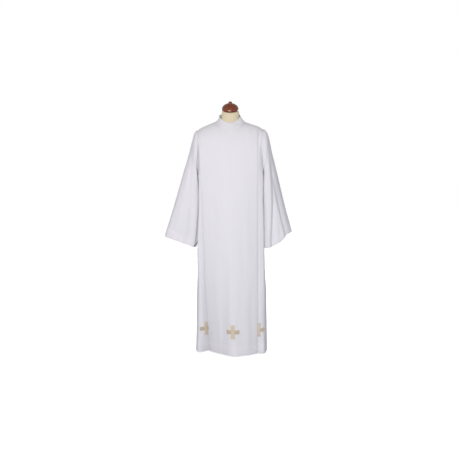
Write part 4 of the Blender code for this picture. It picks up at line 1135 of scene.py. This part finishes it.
def collar_grid(places, shares):
    """The collar band: columns by degrees round the neck from the middle front to the left."""
    base, normals, ups = [], [], []
    for place in places:
        around = (place + 180) % 360 - 180
        facing = -1 if abs(around) <= 90 else 1
        angle = around if facing < 0 else 180 - around
        point, normal, up = neck_frame(math.radians(angle), facing)
        base.append(point)
        normals.append(normal)
        ups.append(up)
    base, normals, ups = np.array(base), np.array(normals), np.array(ups)
    lap = smooth((places - LAP_RAMP) / (LAP_START + 360 - LAP_RAMP)) * (COLLAR_WALL + LAP_LIFT)
    soft = sum(size * np.sin(np.radians(places * times + first))
               for size, times, first in COLLAR_WAVES)
    around = np.radians(places)
    high = (COLLAR_HIGH + COLLAR_BACK_RISE * (1 - np.cos(around)) / 2
            + COLLAR_LEFT_RISE * np.sin(around))
    start = COLLAR_SINK * (lap - 1)
    grid = []
    for share in shares:
        reach = start + (high - start) * share
        bow = (COLLAR_SWELL - COLLAR_HOLLOW * np.abs(np.sin(around))) * math.sin(math.pi * share)
        bow = (bow - COLLAR_LEFT_LEAN * share * np.clip(np.sin(around), 0, 1)
               + soft * share * (1 - share) * 2)
        grid.append(base + ups * reach[:, None] + normals * (lap + bow)[:, None])
    return np.array(grid), np.repeat(normals[None], len(shares), axis=0)


def end_roll(count, steps):
    """1 along a run of this many rows, falling over the first and last of them."""
    roll = np.ones(count)
    roll[:len(steps)] = steps
    roll[-len(steps):] = steps[::-1]
    return roll


COLLAR_ROWS = (0.0, 0.012, 0.04, 0.1, 0.2, 0.3, 0.4, 0.5, 0.6, 0.7, 0.8, 0.88, 0.93, 0.96, 0.988,
               1.0)
COLLAR_COLUMNS = 190
COLLAR_ROUNDING, COLLAR_FOOT = (0.25, 0.7, 0.95), (0.8, 0.92, 1.0)  # thickness at its edges
COLLAR_STITCHES = (0.08, 0.92)  # shares of the collar's height
COLLAR_DIP, COLLAR_DIP_REACH = 0.25, 0.02  # hollow along its stitches, reach in shares


def make_collar():
    ends = np.array([0.0, 0.25, 0.8])
    places = np.concatenate([LAP_START + ends,
                             np.linspace(LAP_START + 2, LAP_END - 2, COLLAR_COLUMNS),
                             LAP_END - ends[::-1]])
    shares = np.array(COLLAR_ROWS)
    grid, normals = collar_grid(places, shares)
    up_roll = end_roll(len(shares), COLLAR_ROUNDING)
    up_roll[:3] = COLLAR_FOOT
    roll = np.outer(up_roll, end_roll(len(places), COLLAR_ROUNDING))
    half = COLLAR_WALL / 2 * roll
    from_line = np.abs(shares - 0.5) - (COLLAR_STITCHES[1] - 0.5)
    dip = COLLAR_DIP * np.exp(-(from_line / COLLAR_DIP_REACH)**2)
    return cloth_mesh("collar_cloth", grid, normals, half - dip[:, None], half, robe_material())


def lines_of_stitches(name, runs):
    sizes = bpy.context.scene.alb_stitches
    thread = shared("sewing", lambda: thread_material(
        "sewing_thread", tuple(sizes.colour), tuple(sizes.colour), shared("twist", twist_group)))
    return grown(polylines(name + "_lines", runs), shared("stitches", stitch_tree), name, thread,
                 Pitch=sizes.pitch, Length=sizes.length, Thickness=sizes.thickness)


STITCH_INSET = 1.6  # degrees from the collar's ends to its stitches
# How deep the thread lies in the cloth: hems and cuffs, along the collar, at the collar's end.
HEM_SINK, COLLAR_THREAD_SINK, END_SINK = 0.2, 0.08, 0.02


def make_stitches():
    """The stitch lines of the hem, the cuffs and the collar's edge."""
    sizes = bpy.context.scene.alb_cloth
    half = sizes.wall / MM / 2
    made = []
    for side in ("front", "back"):
        line = HEM_Z + sizes.hem_high / MM
        grid, normals = body_panel(side).strip((line - 2, line, line + 2))
        run = (grid[1] + normals[1] * (half - HEM_SINK))[2:-2]
        made.append(lines_of_stitches(f"hem_stitches_{side}", [run]))
    for side in ("right", "left"):
        share = 1 - sizes.cuff_high / MM / SLEEVE_LONG
        grid, normals = sleeve_grid(side, (share - 0.004, share, share + 0.004))
        run = grid[1] + normals[1] * (half - HEM_SINK)
        made.append(lines_of_stitches(f"cuff_stitches_{side}", [np.vstack([run, run[:1]])]))
    low, high = COLLAR_STITCHES
    places = np.linspace(LAP_START + STITCH_INSET, LAP_END - STITCH_INSET, 240)
    grid, normals = collar_grid(places, np.array(COLLAR_STITCHES))
    grid = grid + normals * (COLLAR_WALL / 2 - COLLAR_THREAD_SINK)
    end, out = collar_grid(np.array([LAP_END - STITCH_INSET]), np.linspace(low, high, 8))
    down = (end + out * (COLLAR_WALL / 2 - END_SINK))[::-1, 0]
    made.append(lines_of_stitches("collar_stitches", [grid[0], np.vstack([grid[1], down])]))
    return made


# ---------------------------------------------------------------- crosses

CROSS_REACH, CROSS_CENTRE = 43.0, 10.8  # tip and middle square, from the cross's middle
CROSS_ARM = ((10.8, 10.8), (22.0, 10.0), (32.0, 12.2), (37.5, 12.4), (40.5, 9.8), (42.2, 5.6),
             (43.0, 2.0))  # distance from the middle and half-width
THREAD_POINTS, CORD_POINTS = 8, 26  # along a thread, and along each side of an arm's cord
THREAD_LIFT, MIDDLE_RISE = 0.15, 0.35  # threads above the cloth; the middle above the arms
TIP_PAD, TIP_REACH = 0.55, 6.0  # share of the padding left at the tips, and where it thins
PATCH_ROW = 2.0  # mm between the rows of a patch of cloth


def cloth_patch(side, region, x, z):
    """Points and normals of the cloth on a square round a place: 1 mm steps across, by its run."""
    panel = body_panel(side)
    reach = CROSS_REACH + 4
    heights = np.arange(z - reach, z + reach + 1, PATCH_ROW)
    grid, normals = panel.strip(heights)
    runs = arc_lengths(grid, True)[0] / MM
    middle = len(heights) // 2
    low, high = CROSS_REGIONS[region]
    inside = np.flatnonzero((panel.places >= low) & (panel.places <= high))
    order = inside[np.argsort(grid[middle, inside, 0])]
    column = np.interp(x, grid[middle, order, 0], order)
    columns = np.arange(grid.shape[1])
    across = np.arange(-reach, reach + 0.5, 1.0)
    patch = []
    for row, tilt, run in zip(grid, normals, runs):
        place = np.interp(column, columns, run) + across
        both = np.hstack([row, tilt])
        patch.append(np.column_stack([np.interp(place, run, v) for v in both.T]))
    return np.array(patch), reach


def on_patch(patch, reach, across, upward, lift):
    """Places on a patch of cloth, lifted off it."""
    u = np.clip(np.asarray(across) + reach, 0, patch.shape[1] - 1.001)
    v = np.clip((np.asarray(upward) + reach) / PATCH_ROW, 0, patch.shape[0] - 1.001)
    i, j = u.astype(int), v.astype(int)
    s, t = (u - i)[:, None], (v - j)[:, None]
    mix = ((1 - t) * ((1 - s) * patch[j, i] + s * patch[j, i + 1])
           + t * ((1 - s) * patch[j + 1, i] + s * patch[j + 1, i + 1]))
    return mix[:, :3] + unit(mix[:, 3:]) * np.asarray(lift)[:, None]


def satin_threads(patch, reach, surface, sizes):
    """Threads side by side over the padding: those of the side arms, then of the upright."""
    pitch, pad, radius = sizes.pitch / MM, sizes.pad / MM, sizes.radius / MM
    spread = np.sin(np.linspace(-1, 1, THREAD_POINTS) * math.pi / 2)
    lowest = surface + THREAD_LIFT + radius
    swell = pad * (1 - spread**2)**0.5
    tall, wide = [], []
    for d in np.arange(CROSS_CENTRE, CROSS_REACH, pitch):
        half = from_table(CROSS_ARM, d)[1]
        level = lowest + swell * (TIP_PAD + (1 - TIP_PAD) * smooth((CROSS_REACH - d) / TIP_REACH))
        for sign in (-1, 1):
            straight = np.full(len(spread), sign * d)
            wide.append(on_patch(patch, reach, straight, spread * half, level))
            tall.append(on_patch(patch, reach, spread * half, straight, level))
    for d in np.arange(-CROSS_CENTRE + pitch, CROSS_CENTRE, pitch):
        crown = lowest + swell + MIDDLE_RISE * math.sqrt(1 - (d / CROSS_CENTRE)**2)
        tall.append(on_patch(patch, reach, spread * CROSS_CENTRE, np.full(len(spread), d), crown))
    return wide, tall


def edge_cord(patch, reach, surface, radius):
    """The line of the cord round all four arms."""
    distances = np.linspace(CROSS_CENTRE, CROSS_REACH, CORD_POINTS)
    halves = np.array([from_table(CROSS_ARM, d)[1] for d in distances]) + radius
    x = np.append(distances, distances[::-1])
    y = np.append(-halves, halves[::-1])
    edge = np.vstack([np.column_stack([x * c - y * s, x * s + y * c])
                      for c, s in ((1, 0), (0, 1), (-1, 0), (0, -1))])
    edge = np.vstack([edge, edge[:1]])
    return on_patch(patch, reach, edge[:, 0], edge[:, 1],
                    np.full(len(edge), surface + 0.5 * radius))


def make_cross(name, side, region, x, z):
    """Satin threads laid side by side over padding, and a cord round the edge."""
    sizes = bpy.context.scene.alb_crosses
    surface = bpy.context.scene.alb_cloth.wall / MM / 2
    patch, reach = cloth_patch(side, region, x, z)
    wide, tall = satin_threads(patch, reach, surface, sizes)
    cord = edge_cord(patch, reach, surface, sizes.edge_radius / MM)
    twist, tree = shared("twist", twist_group), shared("threads", thread_tree)
    # Painted shade and painted sheen: one gold thread in two tones, darker on the side arms and
    # the edge cord, lighter on the upright and the middle, in place of the satin's sheen by thread
    # direction.
    deep = shared("deep", lambda: thread_material("gold_thread_painted_shade", tuple(sizes.deep),
                                                  tuple(sizes.pale), twist))
    pale = shared("pale", lambda: thread_material("gold_thread_painted_sheen", tuple(sizes.pale),
                                                  toned(sizes.pale, 1.2), twist))
    return [grown(polylines(f"cross_{name}_{part}_lines", runs), tree, f"cross_{name}_{part}",
                  thread, Radius=size, Sides=5)
            for part, runs, thread, size in (("side_arms", wide, deep, sizes.radius),
                                             ("upright", tall, pale, sizes.radius),
                                             ("edge", [cord], deep, sizes.edge_radius))]


# ---------------------------------------------------------------- form and stand

def form_depth(x, z, front):
    """How far the form stands out from its middle plane, under the cloth."""
    chest = 0.0
    top = min(shoulder_z(x) - FORM_GAP, NECK_SEAT)
    if z < top:
        up = max(0.0, (z - CHEST_Z) / (top - CHEST_Z))
        wide = 1 - abs(x / FORM_CHEST_X)**FORM_CHEST_POWER
        deep = FORM_CHEST_FRONT if front else FORM_CHEST_BACK
        chest = deep * wide**0.5 * math.sqrt(1 - up * up) - FORM_GAP
    reach, forward, backward = NECK_FORM
    neck = 0.0
    if abs(x) < reach:
        neck = (forward if front else backward) * math.sqrt(1 - (x / reach)**2)
    return max(chest, neck, 0.0)


def form_reach(z, side):
    """Half-width of the form at this height, on one side."""
    reach = FORM_ARM_X
    while reach > NECK_FORM[0] + 1 and shoulder_z(side * reach) - FORM_GAP < z + 0.5:
        reach -= 0.5
    return reach


def rings_mesh(name, rings, material):
    """A closed solid through rings of points, its ends closed by a point in the middle."""
    rings = np.array(rings) * MM
    rows, count = rings.shape[:2]
    ends = [rings[0].mean(axis=0), rings[-1].mean(axis=0)]
    points = [tuple(p) for p in rings.reshape(-1, 3)] + [tuple(p) for p in ends]
    faces = []
    for i in range(count):
        k = (i + 1) % count
        faces += [(j * count + i, j * count + k, (j + 1) * count + k, (j + 1) * count + i)
                  for j in range(rows - 1)]
        faces.append((k, i, rows * count))
        faces.append(((rows - 1) * count + i, (rows - 1) * count + k, rows * count + 1))
    mesh = bpy.data.meshes.new(name)
    mesh.from_pydata(points, [], faces)
    mesh.shade_smooth()
    mesh.materials.append(material)
    return new_object(name, mesh)


FORM_SIDES = 96
FORM_EDGE = 2.0  # how far its lower edge turns in
FORM_BOXY = 0.8  # below 1, more of a ring's points lie near its sides
FORM_WAIST_LEVELS = (820, 820.6, 822, *np.linspace(824, 1180, 18))
FORM_CHEST_LEVELS = (*np.linspace(1230, 1370, 15), *np.linspace(1376, 1415, 12))


def make_form_cover(material):
    turns = np.linspace(0, 2 * math.pi, FORM_SIDES, endpoint=False)
    rings = []
    for z in FORM_WAIST_LEVELS:
        _, wide, deep = from_table(FORM_SECTIONS, z)
        if z == FORM_WAIST_LEVELS[0]:
            wide, deep = wide - FORM_EDGE, deep - FORM_EDGE
        rings.append([(wide * math.cos(t), -deep * math.sin(t), z) for t in turns])
    for z in FORM_CHEST_LEVELS:
        reach = {side: form_reach(z, side) for side in (-1, 1)}
        ring = []
        for t in turns:
            c, s = math.cos(t), math.sin(t)
            x = reach[1 if c > 0 else -1] * math.copysign(abs(c)**FORM_BOXY, c)
            depth = form_depth(x, z, s > 0) if abs(s) > 1e-6 else 0.0
            ring.append((x, -math.copysign(max(depth, FORM_RIM * abs(s)), s), z))
        rings.append(ring)
    for z in np.linspace(NECK_RINGS[0][0], NECK_RINGS[-1][0], 22):
        _, across, wide, deep, middle, lean = from_table(NECK_RINGS, z)
        angle = math.radians(lean)
        rings.append([(across + wide * math.cos(t), middle - deep * math.sin(t) * math.cos(angle),
                       z - deep * math.sin(t) * math.sin(angle)) for t in turns])
    return rings_mesh("form_cover", rings, material)


def make_turned(name, profile, start, lean, material, softened=True):
    """A piece turned about a line from start that leans forward by this many degrees."""
    rows = np.array(profile, float)
    if softened:
        heights = np.linspace(rows[0, 0], rows[-1, 0], 90)
        rows = np.array([from_table(profile, h) for h in heights])
    angle = math.radians(lean)
    line = np.array(start) + rows[:, :1] * np.array((0.0, -math.sin(angle), math.cos(angle)))
    source = polylines(name + "_axis", [line])
    radii = source.data.attributes.new("turn_radius", "FLOAT", "POINT")
    radii.data.foreach_set("value", rows[:, 1] * MM)
    return grown(source, shared("turning", turning_tree), name, material,
                 Sides=bpy.context.scene.alb_form.sides)


# ---------------------------------------------------------------- operators

def hand_over(piece, node):
    """Gives a finished piece to the frame in place of its node."""
    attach(piece, "root")
    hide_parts(node)


class ALB_OT_body(bpy.types.Operator):
    """Make the front and back panels with their folds and hems"""
    bl_idname = "alb.body"
    bl_label = "Front and Back"

    def execute(self, context):
        for side, flat, area in (("front", (0.96, 1.43), 1.0), ("back", (0.84, 1.43), 0.9)):
            cloth = make_body_panel(side)
            hand_over(cloth, f"{side}_panel")
        return {"FINISHED"}


class ALB_OT_sleeves(bpy.types.Operator):
    """Make the two wide sleeves with their folds and hemmed cuffs"""
    bl_idname = "alb.sleeves"
    bl_label = "Sleeves"

    def execute(self, context):
        for side in ("right", "left"):
            cloth = make_sleeve(side)
            hand_over(cloth, f"sleeve_{side}")
        return {"FINISHED"}


class ALB_OT_collar(bpy.types.Operator):
    """Make the stand collar that laps over itself beside the front"""
    bl_idname = "alb.collar"
    bl_label = "Collar"

    def execute(self, context):
        cloth = make_collar()
        hand_over(cloth, "collar")
        return {"FINISHED"}


class ALB_OT_stitches(bpy.types.Operator):
    """Sew the hem, the cuffs and the collar's edge"""
    bl_idname = "alb.stitches"
    bl_label = "Stitching"

    def execute(self, context):
        for line in make_stitches():
            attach(line, "root")
        return {"FINISHED"}


class ALB_OT_crosses(bpy.types.Operator):
    """Embroider the crosses above the hem"""
    bl_idname = "alb.crosses"
    bl_label = "Crosses"

    def execute(self, context):
        for name, side, region, x, z in CROSSES:
            for piece in make_cross(name, side, region, x, z):
                hand_over(piece, f"cross_{name}")
        return {"FINISHED"}


class ALB_OT_form(bpy.types.Operator):
    """Make the dress form's cover, its wooden neck cap and the steel stand"""
    bl_idname = "alb.form"
    bl_label = "Form and Stand"

    def execute(self, context):
        sizes = context.scene.alb_form
        jersey = jersey_material("form_jersey", tuple(sizes.jersey))
        wood = wood_material("cap_wood", tuple(sizes.wood_dark), tuple(sizes.wood_light))
        steel = steel_material("stand_steel", tuple(sizes.steel))
        hand_over(make_form_cover(jersey), "form_torso")
        cap = make_turned("turned_cap", CAP_PROFILE, (0.0, CAP_Y, CAP_Z), CAP_TILT, wood)
        hand_over(cap, "neck_cap")
        for name, profile in (("foot", FOOT_PROFILE), ("pole", POLE_PROFILE)):
            piece = make_turned(name, profile, (0.0, 0.0, 0.0), 0.0, steel, False)
            hand_over(piece, f"stand_{name}")
        return {"FINISHED"}


def turned_to(obj, aim):
    """Turns a lamp or camera to look at a place."""
    obj.rotation_euler = (Vector(aim) - obj.location).to_track_quat("-Z", "Y").to_euler()


def add_lamp(name, place, aim, size, power, colour):
    lamp = bpy.data.lights.new(name, "AREA")
    lamp.shape, lamp.size, lamp.energy, lamp.color = "DISK", size, power, colour
    obj = new_object(name, lamp)
    obj.location = place
    turned_to(obj, aim)


def make_floor(sizes):
    points = [(FLOOR_RADIUS * math.cos(a), FLOOR_RADIUS * math.sin(a), 0.0)
              for a in np.linspace(0, 2 * math.pi, FLOOR_CORNERS, endpoint=False)]
    mesh = bpy.data.meshes.new("studio_floor")
    mesh.from_pydata(points, [], [tuple(range(FLOOR_CORNERS))])
    mesh.materials.append(floor_material("studio_floor", tuple(sizes.floor), sizes.glow,
                                         tuple(sizes.bounce)))
    return new_object("studio_floor", mesh)


def make_world(strength):
    """A white room to the camera, whose light weakens upwards."""
    world = bpy.data.worlds.new("room")
    world.use_nodes = True
    tree = world.node_tree
    tree.nodes.clear()
    place = add_node(tree, "ShaderNodeTexCoord").outputs["Generated"]
    upward = add_node(tree, "ShaderNodeSeparateXYZ", place).outputs["Z"]
    fall = add_node(tree, "ShaderNodeMapRange", upward, To_Min=strength,
                    To_Max=strength * SKY_OVERHEAD)
    lit = add_node(tree, "ShaderNodeBackground", SKY_COLOUR, fall)
    seen = add_node(tree, "ShaderNodeBackground", WHITE, 1.0)
    add_node(tree, "ShaderNodeOutputWorld", by_camera(tree, lit, seen))
    return world


def make_camera():
    camera = bpy.data.cameras.new("camera")
    camera.lens, camera.sensor_width = VIEW_LENS, VIEW_SENSOR
    obj = new_object("camera", camera)
    obj.location = (VIEW_X, -VIEW_DISTANCE, VIEW_HEIGHT)
    turned_to(obj, (VIEW_X, 0.0, AIM_HEIGHT))
    return obj


class ALB_OT_stage(bpy.types.Operator):
    """Set the floor, the soft lights and the camera"""
    bl_idname = "alb.stage"
    bl_label = "Stage"

    def execute(self, context):
        scene = context.scene
        sizes = scene.alb_stage
        make_floor(sizes)
        for name, place, aim, size, setting, times, colour in LAMPS:
            add_lamp(name, place, aim, size, times * getattr(sizes, setting), colour)
        scene.world = make_world(sizes.sky)
        scene.view_settings.view_transform = "Standard"
        scene.camera = make_camera()
        return {"FINISHED"}


OPERATORS = (ALB_OT_body, ALB_OT_sleeves, ALB_OT_collar, ALB_OT_stitches, ALB_OT_crosses,
             ALB_OT_form, ALB_OT_stage)


class ALB_PT_pieces(bpy.types.Panel):
    """Sizes, colours and buttons for each piece of the alb"""
    bl_label = "Alb"
    bl_idname = "ALB_PT_pieces"
    bl_space_type = "VIEW_3D"
    bl_region_type = "UI"
    bl_category = "Alb"

    def draw(self, context):
        for key, group in SETTINGS:
            box = self.layout.box()
            for name in group.__annotations__:
                box.prop(getattr(context.scene, key), name)
        for operator in OPERATORS:
            self.layout.operator(operator.bl_idname)


def register():
    for key, group in SETTINGS:
        bpy.utils.register_class(group)
        setattr(bpy.types.Scene, key, bpy.props.PointerProperty(type=group))
    for kind in (*OPERATORS, ALB_PT_pieces):
        bpy.utils.register_class(kind)


def unregister():
    for kind in (ALB_PT_pieces, *reversed(OPERATORS)):
        bpy.utils.unregister_class(kind)
    for key, group in reversed(SETTINGS):
        delattr(bpy.types.Scene, key)
        bpy.utils.unregister_class(group)


def main():
    register()
    bpy.ops.alb.form()
    bpy.ops.alb.body()
    bpy.ops.alb.sleeves()
    bpy.ops.alb.collar()
    bpy.ops.alb.stitches()
    bpy.ops.alb.crosses()
    bpy.ops.alb.stage()


if __name__ == "__main__":
    main()
